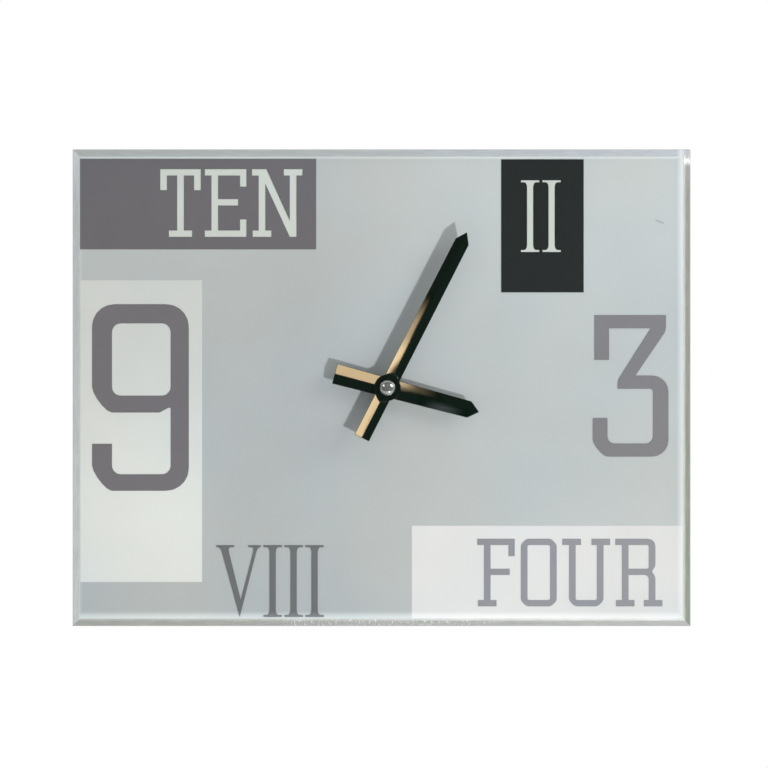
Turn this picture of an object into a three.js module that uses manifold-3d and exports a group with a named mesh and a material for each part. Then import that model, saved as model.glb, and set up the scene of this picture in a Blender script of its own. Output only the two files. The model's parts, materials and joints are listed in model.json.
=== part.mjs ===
// A rectangular wall clock: a bevelled glass panel printed on its back with plain numbers, two pressed
// hands, and a battery movement behind the glass. Every length is in millimetres.
//
// The clock is drawn in its dial's own frame: X to the right, Y up the dial, Z from the wall towards
// the viewer, with the hands' axis at X = Y = 0 and the wall at Z = 0. The outermost group stands it
// up, so that the viewer is at -Y, +Z is up, and the origin is the point that hangs on the nail.

import * as THREE from 'three';
import { mergeVertices } from 'three/addons/utils/BufferGeometryUtils.js';
import Module from 'manifold-3d';

const wasm = await Module();
wasm.setup();

// Driving dimensions

const panel = {
  width: 350, height: 270, thickness: 4, bevelWidth: 4, bevelDrop: 1.2, axisShift: 3.3, holeGap: 0.65,
};
const print = { layer: 0.15, coatMargin: 0.8 };
const movement = {
  corner: 3, side: 1.2, front: 1, toWall: 2.4, behindPlate: 2.6, belowWheel: 0.82, aboveCoil: 1.1,
  besideMotor: 7.29,
};
const battery = {
  radius: 7.25, length: 49.5, nubRadius: 2.75, nub: 1, clearance: 0.45, ahead: 0.05, fromEnd: 2.4,
};
const clearance = { round: 0.2, pivot: 0.12, slip: 0.15, stacked: 0.3, axial: 0.4 };
const sides = { seat: 36, round: 24, small: 12 };
const overrun = 1;
const weld = 1e-4;

// Sizes of the shafts, one inside the next, and of the fixing through the glass

const minuteShaft = { radius: 1.65, threadRadius: 1.3, seat: 1.3, pivot: 1 };
const hourTube = { wall: 0.7 };
const stud = { wall: 1.2, flangeRim: 1.45, flange: 0.8, proud: 0.5 };
const hanger = {
  sheet: 0.8, width: 14, below: 9, tabHeight: 17, rim: 2.6, slotWidth: 7, slotHeight: 9, tabCorner: 4,
};
const rubber = { rim: 2.35, thickness: 1 };
const washer = { rim: 2.65, thickness: 0.6 };
const nut = { wall: 1.35, thickness: 2.2 };
const spacer = { radius: 8, flangeRadius: 11, flange: 1.6, inset: 30, chamfer: 0.6 };
const pad = { thickness: 1, radius: 7 };

const hourTubeBore = minuteShaft.radius + clearance.round;
const hourTubeRadius = hourTubeBore + hourTube.wall;
const studBore = hourTubeRadius + clearance.round;
const studRadius = studBore + stud.wall;
const throughHole = studRadius + clearance.round;
const glassHole = studRadius + panel.holeGap;

// Sizes of the movement's inner parts

const layer = { face: 0.8 };
const level = {
  hour: 0, minute: 1, centre: 2, third: 3, fourth: 4, fifth: 5,
};
const boss = { height: 0.8, wall: 0.78, bottom: 0.5 };
const pivot = { radius: 0.6, start: 0.1, shortOf: 0.2 };
const core = { thickness: 1, height: 3, inset: 0.2 };
const stator = { thickness: 1, gap: 0.7 };
const plate = { thickness: 1 };
const cover = { thickness: 1.4, ledge: 0.6 };
const contact = {
  sheet: 0.5, gap: 0.15, lift: 0.05, below: 4.1, underTop: 2.8, ahead: 3.8, lap: 0.85, tail: 1.4,
  leafShare: 0.6,
};

// Depths behind the movement's front face. The wheels lie in layers, one behind another.

const firstLayer = movement.front + Math.max(boss.height, stud.flange) + clearance.axial;
const layerStart = (index) => firstLayer + index * (layer.face + clearance.axial);
const layerEnd = (index) => layerStart(index) + layer.face;
const coreDepth = layerEnd(level.fifth);
const statorDepth = coreDepth + core.thickness;
const plateDepth = statorDepth + stator.thickness;
const plateBack = plateDepth + plate.thickness;
const caseDepth = Math.max(
  plateBack + movement.behindPlate + cover.thickness,
  movement.front + battery.ahead + 2 * battery.radius + battery.clearance,
);

// Heights over the wall, from the back of the movement to the glass

const caseBack = movement.toWall;
const caseFront = caseBack + caseDepth;
const legFront = caseFront + hanger.sheet;
const coatBack = legFront + rubber.thickness;
const backingBack = coatBack + print.layer;
const inkBack = backingBack + print.layer;
const glassBack = inkBack + print.layer;
const glassFront = glassBack + panel.thickness;
const nutBack = glassFront + washer.thickness;
const studEnd = nutBack + nut.thickness + stud.proud;
const at = (depth) => caseFront - depth;

// Materials

const finish = (color, roughness, metalness = 0) => new THREE.MeshStandardMaterial({
  color, roughness, metalness,
});
const clearGlass = finish(0xdfe8e6, 0.05);
clearGlass.transparent = true;
clearGlass.opacity = 0.3;
const coatInk = finish(0xb9c0c0, 0.6);
const creamInk = finish(0xdce0da, 0.6);
const darkInk = finish(0x716f72, 0.6);
const blackInk = finish(0x323637, 0.6);
const greyInk = finish(0x79777b, 0.6);
const handPaint = finish(0x141414, 0.2);
const brightSteel = finish(0xc9c9c9, 0.15, 1);
const brass = finish(0xb99a55, 0.3, 1);
const blackPlastic = finish(0x1c1c1d, 0.45);
const whitePlastic = finish(0xe6e4dc, 0.5);
const greyRubber = finish(0x3a3a3a, 0.8);
const copper = finish(0xa8552d, 0.35, 1);
const boardGreen = finish(0x1f5a3a, 0.5);
const magnetGrey = finish(0x4a4a4e, 0.4, 1);
const cellJacket = finish(0x31506e, 0.4);

// Solids

function solidOf(geometry) {
  const bare = geometry.clone();
  bare.deleteAttribute('normal');
  bare.deleteAttribute('uv');
  const merged = mergeVertices(bare, weld);
  const corners = merged.index.array;
  const faces = [];
  for (let i = 0; i < corners.length; i += 3) {
    const [a, b, c] = [corners[i], corners[i + 1], corners[i + 2]];
    if (a !== b && b !== c && c !== a) faces.push(a, b, c);
  }
  return new wasm.Manifold(new wasm.Mesh({
    numProp: 3,
    vertProperties: new Float32Array(merged.attributes.position.array),
    triVerts: new Uint32Array(faces),
  }));
}

function geometryOf(solid) {
  const mesh = solid.getMesh();
  const geometry = new THREE.BufferGeometry();
  geometry.setAttribute('position', new THREE.BufferAttribute(mesh.vertProperties, mesh.numProp));
  geometry.setIndex(new THREE.BufferAttribute(mesh.triVerts, 1));
  geometry.computeVertexNormals();
  return geometry;
}

function joined(...geometries) {
  return geometryOf(geometries.map(solidOf).reduce((whole, piece) => whole.add(piece)));
}

function cut(geometry, ...tools) {
  return geometryOf(tools.map(solidOf).reduce((whole, tool) => whole.subtract(tool), solidOf(geometry)));
}

function common(...geometries) {
  return geometryOf(geometries.map(solidOf).reduce((whole, piece) => whole.intersect(piece)));
}

// A straight solid on the outline, from one height to another
function prism(points, from, to) {
  const shape = new THREE.Shape(points);
  const geometry = new THREE.ExtrudeGeometry(shape, { depth: to - from, bevelEnabled: false });
  return geometry.translate(0, 0, from);
}

// The same with holes right through it, which are outlines too
function slab(points, from, to, holes = []) {
  const blank = prism(points, from, to);
  return holes.length
    ? cut(blank, ...holes.map((hole) => prism(hole, from - overrun, to + overrun))) : blank;
}

// A turned solid about Z. The profile lists [radius, height] round the section, up its outside.
function turned(profile, around = sides.round) {
  const points = profile.map(([radius, height]) => new THREE.Vector2(radius, height));
  return new THREE.LatheGeometry([...points, points[0]], around).rotateX(Math.PI / 2);
}

function circle(radius, around = sides.round, x = 0, y = 0) {
  return Array.from({ length: around }, (_, i) => {
    const angle = (i * 2 * Math.PI) / around;
    return new THREE.Vector2(x + radius * Math.cos(angle), y + radius * Math.sin(angle));
  });
}

function disc(radius, from, to, around = sides.round, x = 0, y = 0) {
  return slab(circle(radius, around, x, y), from, to);
}

function rectangle(x0, y0, x1, y1) {
  return [[x0, y0], [x1, y0], [x1, y1], [x0, y1]].map(([x, y]) => new THREE.Vector2(x, y));
}

function block([x0, x1], [y0, y1], [z0, z1]) {
  return slab(rectangle(x0, y0, x1, y1), z0, z1);
}

// An outline whose corners may be rounded. A corner is [x, y, before, after, share]: how far from it
// its curve starts and ends, and how full the curve is. The full share is that of a circle's arc.
const circleShare = 0.5523;
const flattenedShare = 0.3;
const curveSteps = 5;

function outline(corners, steps = curveSteps) {
  const at = ([x, y]) => new THREE.Vector2(x, y);
  return corners.flatMap((corner, i) => {
    const [, , before = 0, after = before, share = circleShare] = corner;
    if (!before) return [at(corner)];
    const middle = at(corner);
    const previous = at(corners[(i + corners.length - 1) % corners.length]);
    const next = at(corners[(i + 1) % corners.length]);
    const start = middle.clone().add(previous.sub(middle).setLength(before));
    const end = middle.clone().add(next.sub(middle).setLength(after));
    const curve = new THREE.CubicBezierCurve(
      start, start.clone().lerp(middle, share), end.clone().lerp(middle, share), end,
    );
    return curve.getPoints(steps);
  });
}

function roundedRectangle(x0, y0, x1, y1, radius) {
  return outline([[x0, y0, radius], [x1, y0, radius], [x1, y1, radius], [x0, y1, radius]]);
}

function moved(points, x, y) {
  return points.map((point) => new THREE.Vector2(point.x + x, point.y + y));
}

// Assembly

const dial = new THREE.Group();

function addPart(name, geometry, material, group = dial) {
  const mesh = new THREE.Mesh(geometry, material);
  mesh.name = name;
  group.add(mesh);
  return mesh;
}

// Glass panel

const panelLeft = -panel.width / 2 - panel.axisShift;
const panelRight = panelLeft + panel.width;
const panelBottom = -panel.height / 2;
const panelTop = panel.height / 2;

function glassPanel() {
  const edge = panel.thickness - panel.bevelDrop;
  const face = new THREE.Shape(rectangle(
    panelLeft + panel.bevelWidth, panelBottom + panel.bevelWidth,
    panelRight - panel.bevelWidth, panelTop - panel.bevelWidth,
  ));
  const blank = new THREE.ExtrudeGeometry(face, {
    depth: edge, bevelSize: panel.bevelWidth, bevelThickness: panel.bevelDrop, bevelSegments: 1,
  }).translate(0, 0, glassBack);
  const behind = block(
    [panelLeft - overrun, panelRight + overrun], [panelBottom - overrun, panelTop + overrun],
    [glassBack - panel.bevelDrop - overrun, glassBack],
  );
  const hole = disc(glassHole, glassBack - overrun, glassFront + overrun);
  return cut(blank, behind, hole);
}

addPart('glass_panel', glassPanel(), clearGlass);

// Printed blocks. What stands in a row takes its place from its neighbour, the row's block takes its
// size from the row and the bare margins round it, and the block is placed from the panel's edges.

function blockAt({ left, right, top, bottom }, { width, height }) {
  const x = left === undefined ? panelRight - right - width : panelLeft + left;
  const y = bottom === undefined ? panelTop - top - height : panelBottom + bottom;
  return { x, y, width, height };
}

// The left edges of a row of glyphs, each standing at its own space from the last, and the row's end
function rowOf(glyphs) {
  let end = 0;
  const starts = glyphs.map(({ before, width }) => {
    const start = end + before;
    end = start + width;
    return start;
  });
  return { starts, end };
}

const blockOutline = ({ x, y, width, height }) => rectangle(x, y, x + width, y + height);

const ink = (shape, holes = []) => slab(shape, inkBack, glassBack, holes);
const backing = (place) => slab(blockOutline(place), backingBack, inkBack);

// Slab letters, drawn from their lower left corner

const letter = {
  height: 38.4, stem: 3.8, bar: 3.6, overhang: 3.75, foot: 10.6, drop: 9.9, middle: 17,
  corner: 4.1, inner: 1,
};
const middleTop = letter.height - letter.middle;
const middleBottom = middleTop - letter.bar;
const underBar = letter.height - letter.bar;
const stemRight = letter.overhang + letter.stem;
const footLeft = letter.overhang + letter.stem / 2 - letter.foot / 2;
const footRight = footLeft + letter.foot;

const glyphT = { before: 45.8, width: 23, foot: 13.2, drop: 11.9 };

function letterT({ width, foot, drop }) {
  const centre = width / 2;
  const [footStart, footEnd] = [centre - foot / 2, centre + foot / 2];
  const [stemStart, stemEnd] = [centre - letter.stem / 2, centre + letter.stem / 2];
  const dropEnd = letter.height - drop;
  return outline([
    [footStart, 0], [footEnd, 0], [footEnd, letter.bar], [stemEnd, letter.bar], [stemEnd, underBar],
    [width - letter.stem, underBar], [width - letter.stem, dropEnd], [width, dropEnd],
    [width, letter.height], [0, letter.height], [0, dropEnd], [letter.stem, dropEnd],
    [letter.stem, underBar], [stemStart, underBar], [stemStart, letter.bar], [footStart, letter.bar],
  ]);
}

// The upper half of E and F, from the middle bar round to the top of the stem
function armsOf(width, middleShort) {
  const dropEnd = letter.height - letter.drop;
  const middleEnd = width - middleShort;
  return [
    [stemRight, middleBottom], [middleEnd, middleBottom], [middleEnd, middleTop],
    [stemRight, middleTop], [stemRight, underBar], [width - letter.bar, underBar],
    [width - letter.bar, dropEnd], [width, dropEnd], [width, letter.height], [0, letter.height],
    [0, underBar], [letter.overhang, underBar],
  ];
}

const glyphE = { before: 2.3, width: 23.6, middleShort: 4.7 };

function letterE({ width, middleShort }) {
  return outline([
    [0, 0], [width, 0], [width, letter.drop], [width - letter.bar, letter.drop],
    [width - letter.bar, letter.bar], [stemRight, letter.bar], ...armsOf(width, middleShort),
    [letter.overhang, letter.bar], [0, letter.bar],
  ]);
}

const glyphF = { before: 37.2, width: 21.3, middleShort: 2.9 };

function letterF({ width, middleShort }) {
  return outline([
    [footLeft, 0], [footRight, 0], [footRight, letter.bar], [stemRight, letter.bar],
    ...armsOf(width, middleShort), [letter.overhang, letter.bar], [footLeft, letter.bar],
  ]);
}

const glyphN = { before: 3.2, width: 28.6, slope: 8.1, lowShare: 0.236, highShare: 0.786 };

function letterN({ width, slope, lowShare, highShare }) {
  const right = width - letter.overhang + footLeft;
  const rightStem = right - letter.stem;
  const serif = width - letter.foot;
  return outline([
    [footLeft, 0], [footRight, 0], [footRight, letter.bar], [stemRight, letter.bar],
    [stemRight, highShare * letter.height], [rightStem, 0], [right, 0], [right, underBar],
    [width, underBar], [width, letter.height], [serif, letter.height], [serif, underBar],
    [rightStem, underBar], [rightStem, lowShare * letter.height], [slope, letter.height],
    [0, letter.height], [0, underBar], [letter.overhang, underBar], [letter.overhang, letter.bar],
    [footLeft, letter.bar],
  ]);
}

const glyphO = { before: 3.4, width: 20.4 };

function letterO({ width }) {
  const { height, stem, bar, corner, inner } = letter;
  const right = width - stem;
  const rounded = [corner, corner, flattenedShare];
  return [
    outline([[0, 0, ...rounded], [width, 0, ...rounded], [width, height, ...rounded],
      [0, height, ...rounded]]),
    outline([[stem, bar, inner], [right, bar, inner], [right, height - bar, inner],
      [stem, height - bar, inner]], 2),
  ];
}

const glyphU = { before: 3.2, width: 27.1 };

function letterU({ width }) {
  const { height, stem, bar, corner, inner, overhang, foot } = letter;
  const rounded = [corner, corner, flattenedShare];
  return outline([
    [overhang, 0, ...rounded], [width - overhang, 0, ...rounded], [width - overhang, underBar],
    [width, underBar], [width, height], [width - foot, height], [width - foot, underBar],
    [width - overhang - stem, underBar], [width - overhang - stem, bar, inner],
    [overhang + stem, bar, inner], [overhang + stem, underBar], [foot, underBar], [foot, height],
    [0, height], [0, underBar], [overhang, underBar],
  ], 3);
}

const glyphR = {
  before: 2.9, width: 26.8, footOut: 4, notchDepth: 1.9, notchHeight: 2, legTop: 3.2, shoulder: 2.4,
};

function letterR({ width, footOut, notchDepth, notchHeight, legTop, shoulder }) {
  const { height, stem, bar, corner, inner, foot } = letter;
  const right = width - footOut;
  const legLeft = right - stem;
  const notch = middleBottom + notchHeight;
  return [
    outline([
      [footLeft, 0], [footRight, 0], [footRight, bar], [stemRight, bar], [stemRight, middleBottom],
      [legLeft, middleBottom, shoulder], [legLeft, bar], [width - foot, bar], [width - foot, 0],
      [width, 0], [width, bar], [right, bar], [right, notch - legTop, inner],
      [right - notchDepth, notch], [right, notch + legTop, inner], [right, height, corner],
      [0, height], [0, underBar], [letter.overhang, underBar], [letter.overhang, bar],
      [footLeft, bar],
    ], 3),
    outline([[stemRight, middleTop], [legLeft, middleTop, inner], [legLeft, underBar, inner],
      [stemRight, underBar]], 2),
  ];
}

// Roman strokes, with bracketed serifs

const roman = {
  height: 40.7, width: 10.4, stem: 3.5, serif: 1.15, bracket: 1.5, bracketHeight: 3,
};

function romanOne() {
  const { height, width, stem, serif, bracket, bracketHeight } = roman;
  const [left, right] = [width / 2 - stem / 2, width / 2 + stem / 2];
  return outline([
    [0, 0], [width, 0], [width, serif], [right, serif, bracket, bracketHeight],
    [right, height - serif, bracketHeight, bracket], [width, height - serif], [width, height],
    [0, height], [0, height - serif], [left, height - serif, bracket, bracketHeight],
    [left, serif, bracketHeight, bracket], [0, serif],
  ], 3);
}

const five = {
  width: 25.2, leftSerif: 10.1, rightSerif: 7, thickEdge: 2.4, thick: 4.1, thinEdge: 1.8, thin: 1.8,
  apex: 13.3, innerShift: 0.6, innerHeight: 9.8,
};

function romanFive() {
  const { height, serif, bracket, bracketHeight } = roman;
  const under = height - serif;
  const thinRight = five.width - five.thinEdge;
  return outline([
    [five.apex, 0], [thinRight, under, bracketHeight, bracket], [five.width, under],
    [five.width, height], [five.width - five.rightSerif, height],
    [five.width - five.rightSerif, under],
    [thinRight - five.thin, under, bracket, bracketHeight],
    [five.apex + five.innerShift, five.innerHeight],
    [five.thickEdge + five.thick, under, bracketHeight, bracket], [five.leftSerif, under],
    [five.leftSerif, height], [0, height], [0, under],
    [five.thickEdge, under, bracket, bracketHeight],
  ], 3);
}

// Large figures

const nine = {
  width: 54.9, height: 105.9, left: 11.3, right: 10.3, top: 10.9, bowlBottom: 44.4, bowlBar: 9.6,
  bottom: 9.4, terminal: 26.7, corner: 12.8, flatAcross: 11.2, flatUp: 14.6, inner: 5,
  notchWidth: 6.4, notchRise: 2.6, notchFlat: 1.3,
};

function figureNine() {
  const right = nine.width - nine.right;
  const counter = [nine.bowlBottom + nine.bowlBar, nine.height - nine.top];
  const notchTop = nine.bowlBottom + nine.notchRise;
  return [
    outline([
      [0, 0, nine.flatUp, nine.flatAcross, flattenedShare], [nine.width, 0, nine.corner],
      [nine.width, nine.height, nine.corner], [0, nine.height, nine.corner],
      [0, nine.bowlBottom, nine.flatUp, nine.flatAcross, flattenedShare],
      [right - nine.notchWidth, nine.bowlBottom], [right - nine.notchFlat, notchTop],
      [right, notchTop], [right, nine.bottom, nine.inner], [nine.left, nine.bottom, nine.inner],
      [nine.left, nine.terminal], [0, nine.terminal],
    ]),
    outline([[nine.left, counter[0], nine.inner], [right, counter[0], nine.inner],
      [right, counter[1], nine.inner], [nine.left, counter[1], nine.inner]]),
  ];
}

const three = {
  width: 42.9, height: 80.3, stroke: 8.3, bar: 7.5, topIndent: 0.9, topWidth: 40.6, drop: 25.4,
  diagonalTop: 31.9, kneeDrop: 8.85, knee: 14.1, kneeRise: 4.9, middle: 38.5, elbowWidth: 10.1,
  bottom: 7.4, terminal: 21.9, corner: 9.2, flatAcross: 8.3, flatUp: 9.4, inner: 4.3, soft: 1.9,
};

function figureThree() {
  const { width, height, stroke, bar, topIndent, middle, inner, soft } = three;
  const right = width - stroke - topIndent / 2;
  const topRight = topIndent + three.topWidth;
  return outline([
    [0, 0, three.flatUp, three.flatAcross, flattenedShare], [width, 0, three.corner],
    [width, middle + bar, three.corner], [three.knee + three.elbowWidth, middle + bar],
    [topRight, height - three.kneeDrop, soft], [topRight, height], [topIndent, height],
    [topIndent, height - three.drop], [topIndent + stroke, height - three.drop],
    [topIndent + stroke, height - bar], [topIndent + three.diagonalTop, height - bar],
    [three.knee, middle + three.kneeRise, soft], [three.knee, middle], [right, middle, soft],
    [right, three.bottom, inner], [stroke, three.bottom, inner], [stroke, three.terminal],
    [0, three.terminal],
  ]);
}

// The printed blocks' margins, and their places from the panel's edges

const tenMargin = { left: 3.6, top: 5.1, after: 7.8, below: 7.1, above: 5.9 };
const twoMargin = { right: 60.3, top: 5.4, before: 11.2, gap: 1.8, after: 13, below: 22.9, above: 11.9 };
const nineMargin = { left: 4, top: 74, bottom: 24.7, before: 6.7, after: 7.5, above: 13.6 };
const fourMargin = { right: 4.4, bottom: 4.1, after: 11.2, below: 6.8, above: 7.4 };
const threePlace = { right: 12.2, bottom: 95.9 };
const eightRow = { left: 81.2, bottom: 4.9, afterFive: 1.6, gap: 1.5 };

// The dark block with three open letters
const tenRow = rowOf([glyphT, glyphE, glyphN]);
const tenBlock = blockAt(tenMargin, {
  width: tenRow.end + tenMargin.after, height: tenMargin.below + letter.height + tenMargin.above,
});
const tenLetters = [letterT(glyphT), letterE(glyphE), letterN(glyphN)].map(
  (shape, i) => moved(shape, tenBlock.x + tenRow.starts[i], tenBlock.y + tenMargin.below),
);

addPart('block_ten', ink(blockOutline(tenBlock), tenLetters), darkInk);
addPart('backing_ten', backing(tenBlock), creamInk);

// The black block with two open strokes
const twoRow = rowOf([
  { before: twoMargin.before, width: roman.width }, { before: twoMargin.gap, width: roman.width },
]);
const twoBlock = blockAt(twoMargin, {
  width: twoRow.end + twoMargin.after, height: twoMargin.below + roman.height + twoMargin.above,
});
const twoStrokes = twoRow.starts.map(
  (x) => moved(romanOne(), twoBlock.x + x, twoBlock.y + twoMargin.below),
);

addPart('block_two', ink(blockOutline(twoBlock), twoStrokes), blackInk);
addPart('backing_two', backing(twoBlock), creamInk);

// The cream block with the largest figure, which hangs from its top
const nineBlock = blockAt({ left: nineMargin.left, bottom: nineMargin.bottom }, {
  width: nineMargin.before + nine.width + nineMargin.after,
  height: panel.height - nineMargin.top - nineMargin.bottom,
});
const nineBottom = nineBlock.y + nineBlock.height - nineMargin.above - nine.height;
const [nineOuter, nineCounter] = figureNine().map(
  (shape) => moved(shape, nineBlock.x + nineMargin.before, nineBottom),
);

addPart('block_nine', backing(nineBlock), creamInk);
addPart('numeral_nine', ink(nineOuter, [nineCounter]), darkInk);
addPart('numeral_three', ink(moved(
  figureThree(), panelRight - threePlace.right - three.width, panelBottom + threePlace.bottom,
)), greyInk);

// The cream block with four letters
const fourRow = rowOf([glyphF, glyphO, glyphU, glyphR]);
const fourBlock = blockAt(fourMargin, {
  width: fourRow.end + fourMargin.after,
  height: fourMargin.below + letter.height + fourMargin.above,
});
const fourLetters = [[letterF(glyphF)], letterO(glyphO), [letterU(glyphU)], letterR(glyphR)];

addPart('block_four', backing(fourBlock), creamInk);
['letter_f', 'letter_o', 'letter_u', 'letter_r'].forEach((name, i) => {
  const [shape, ...holes] = fourLetters[i].map(
    (points) => moved(points, fourBlock.x + fourRow.starts[i], fourBlock.y + fourMargin.below),
  );
  addPart(name, ink(shape, holes), greyInk);
});

// The row of roman strokes on the bare coat
const strokeNames = ['roman_i_1', 'roman_i_2', 'roman_i_3'];
const strokeRow = rowOf([
  { before: eightRow.left, width: five.width },
  ...strokeNames.map((name, i) => (
    { before: i ? eightRow.gap : eightRow.afterFive, width: roman.width }
  )),
]);
['roman_v', ...strokeNames].forEach((name, i) => {
  const shape = i ? romanOne() : romanFive();
  addPart(name, ink(moved(
    shape, panelLeft + strokeRow.starts[i], panelBottom + eightRow.bottom,
  )), greyInk);
});

addPart('ground_coat', slab(rectangle(
  panelLeft + print.coatMargin, panelBottom + print.coatMargin,
  panelRight - print.coatMargin, panelTop - print.coatMargin,
), coatBack, backingBack, [circle(glassHole)]), coatInk);

// Spacers and pads behind the four corners of the panel

const spacerProfile = [
  [0, pad.thickness], [spacer.radius - spacer.chamfer, pad.thickness],
  [spacer.radius, pad.thickness + spacer.chamfer], [spacer.radius, coatBack - spacer.flange],
  [spacer.flangeRadius, coatBack - spacer.flange], [spacer.flangeRadius, coatBack], [0, coatBack],
];
let corner = 0;
for (const x of [panelLeft + spacer.inset, panelRight - spacer.inset]) {
  for (const y of [panelBottom + spacer.inset, panelTop - spacer.inset]) {
    corner += 1;
    addPart(`spacer_${corner}`, turned(spacerProfile), whitePlastic).position.set(x, y, 0);
    addPart(`pad_${corner}`, disc(pad.radius, 0, pad.thickness), greyRubber).position.set(x, y, 0);
  }
}

// Gears: straight-sided teeth, each written as shares of the module and of the circular pitch

const toothShares = { addendum: 0.85, dedendum: 1.15, rootWidth: 0.34, tipWidth: 0.12 };

function gearOutline(teeth, module, phase) {
  const pitch = (teeth * module) / 2;
  const at = (share, angle) => {
    const radius = pitch + share * module;
    return new THREE.Vector2(radius * Math.cos(angle), radius * Math.sin(angle));
  };
  const root = (toothShares.rootWidth * Math.PI * module) / pitch;
  const tip = (toothShares.tipWidth * Math.PI * module) / pitch;
  return Array.from({ length: teeth }, (_, i) => {
    const angle = phase + (i * 2 * Math.PI) / teeth;
    return [
      at(-toothShares.dedendum, angle - root), at(toothShares.addendum, angle - tip),
      at(toothShares.addendum, angle + tip), at(-toothShares.dedendum, angle + root),
    ];
  }).flat();
}

const centreDistance = (a, b, module) => ((a + b) * module) / 2;
const tipRadius = (teeth, module) => module * (teeth / 2 + toothShares.addendum);

// The phase of a gear that meshes with another, which lies towards it at the angle
function meshedPhase(phase, angle, teeth, ownTeeth) {
  return angle + Math.PI + Math.PI / ownTeeth - ((phase - angle) * teeth) / ownTeeth;
}

const degrees = (value) => (value * Math.PI) / 180;

// Tooth counts of the train. One turn of the centre wheel is 1800 turns of the rotor. The gears'
// modules follow from what they must clear: each wheel passes the next arbor with a gap.
const cannon = { teeth: 8, cover: 0.06 };
const minuteGear = { teeth: 24, pinion: 8 };
const hourGear = { teeth: 32 };
const knobGear = { teeth: 12 };
const centreGear = { teeth: 48, gap: 0.492 };
const thirdGear = { teeth: 45, pinion: 6, gap: 0.4745 };
const fourthGear = { teeth: 36, pinion: 6, module: 0.35 };
const fifthGear = { teeth: 30, pinion: 6, module: 0.35 };
const rotorGear = { pinion: 6 };

const moduleOf = (room, teeth, share) => room / (teeth / 2 + share);
const cannonModule = moduleOf(
  minuteShaft.radius + cannon.cover, cannon.teeth, -toothShares.dedendum,
);
const minuteDistance = centreDistance(cannon.teeth, minuteGear.teeth, cannonModule);
const hourModule = (2 * minuteDistance) / (minuteGear.pinion + hourGear.teeth);
const thirdDistance = tipRadius(hourGear.teeth, hourModule) + pivot.radius + centreGear.gap;
const centreModule = (2 * thirdDistance) / (centreGear.teeth + thirdGear.pinion);
const thirdModule = moduleOf(
  thirdDistance - minuteShaft.pivot - thirdGear.gap, thirdGear.teeth, toothShares.addendum,
);

// Directions from each arbor to the next, in degrees from the nearest of the dial's axes
const lean = { minute: 10, knob: 35, third: 5, fourth: 30, fifth: 28, rotor: 0 };
const towards = {
  minute: -lean.minute, knob: 90 - lean.knob, third: 180 - lean.third, fourth: 180 - lean.fourth,
  fifth: 90 - lean.fifth, rotor: lean.rotor,
};

function beyond(from, distance, direction) {
  const angle = degrees(direction);
  return { x: from.x + distance * Math.cos(angle), y: from.y + distance * Math.sin(angle) };
}

const axis = { x: 0, y: 0 };
const minuteAt = beyond(axis, minuteDistance, towards.minute);
const knobAt = beyond(
  minuteAt, centreDistance(minuteGear.teeth, knobGear.teeth, cannonModule), towards.knob,
);
const thirdAt = beyond(axis, thirdDistance, towards.third);
const fourthAt = beyond(
  thirdAt, centreDistance(thirdGear.teeth, fourthGear.pinion, thirdModule), towards.fourth,
);
const fifthAt = beyond(
  fourthAt, centreDistance(fourthGear.teeth, fifthGear.pinion, fourthGear.module), towards.fifth,
);
const rotorDistance = centreDistance(fifthGear.teeth, rotorGear.pinion, fifthGear.module);
const rotorAt = beyond(fifthAt, rotorDistance, towards.rotor);

// Phases, followed from gear to gear
const cannonPhase = 0;
const minutePhase = meshedPhase(
  cannonPhase, degrees(towards.minute), cannon.teeth, minuteGear.teeth,
);
const knobPhase = meshedPhase(minutePhase, degrees(towards.knob), minuteGear.teeth, knobGear.teeth);
const hourPhase = meshedPhase(
  minutePhase, degrees(towards.minute) + Math.PI, minuteGear.pinion, hourGear.teeth,
);
const centrePhase = 0;
const thirdPhase = meshedPhase(
  centrePhase, degrees(towards.third), centreGear.teeth, thirdGear.pinion,
);
const fourthPhase = meshedPhase(
  thirdPhase, degrees(towards.fourth), thirdGear.teeth, fourthGear.pinion,
);
const fifthPhase = meshedPhase(
  fourthPhase, degrees(towards.fifth), fourthGear.teeth, fifthGear.pinion,
);
const rotorPhase = meshedPhase(
  fifthPhase, degrees(towards.rotor), fifthGear.teeth, rotorGear.pinion,
);

// The motor's places, from the rotor and the wheel before it

const coil = {
  flange: 3.9, flangeThickness: 0.8, tube: 2.3, wire: 3.2, slip: 0.1, overWheel: 0.855, beside: 1.1,
};
const leg = {
  leftReach: 12.82, rightReach: 15.08, width: 4.2, aboveCoil: 2, inside: 5.4, outside: 1.9,
};
const pole = { gap: 0.9, low: 5.2, chamfer: 2.4 };

const coilY = fifthAt.y + tipRadius(fifthGear.teeth, fifthGear.module) + coil.overWheel + coil.flange;
const legLeft = rotorAt.x - leg.leftReach;
const legRight = rotorAt.x + leg.rightReach;

// The case's inner size: the cell lies in its bay along the bottom, the train and the motor above it

const bayHeight = 2 * (battery.radius + battery.clearance);
const bayLength = battery.fromEnd + battery.length + battery.nub + contact.lift + contact.sheet
  + contact.gap;
const innerHalf = Math.max(bayLength / 2, movement.besideMotor - legLeft);
const innerHigh = Math.max(
  tipRadius(minuteGear.teeth, cannonModule) - minuteAt.y + movement.belowWheel + movement.side
    + bayHeight,
  coilY + coil.flange + movement.aboveCoil,
);
const outerHalf = innerHalf + movement.side;
const outerHigh = innerHigh + movement.side;
const bayLeft = -innerHalf;
const bayRight = bayLeft + bayLength;
const bayBottom = -innerHigh;
const bayTop = bayBottom + bayHeight;
const cavityBottom = bayTop + movement.side;
const hangHeight = outerHigh + clearance.stacked + hanger.tabHeight - hanger.rim;

// Fixing through the glass. The bracket's strap passes over the top of the movement's case.

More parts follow.
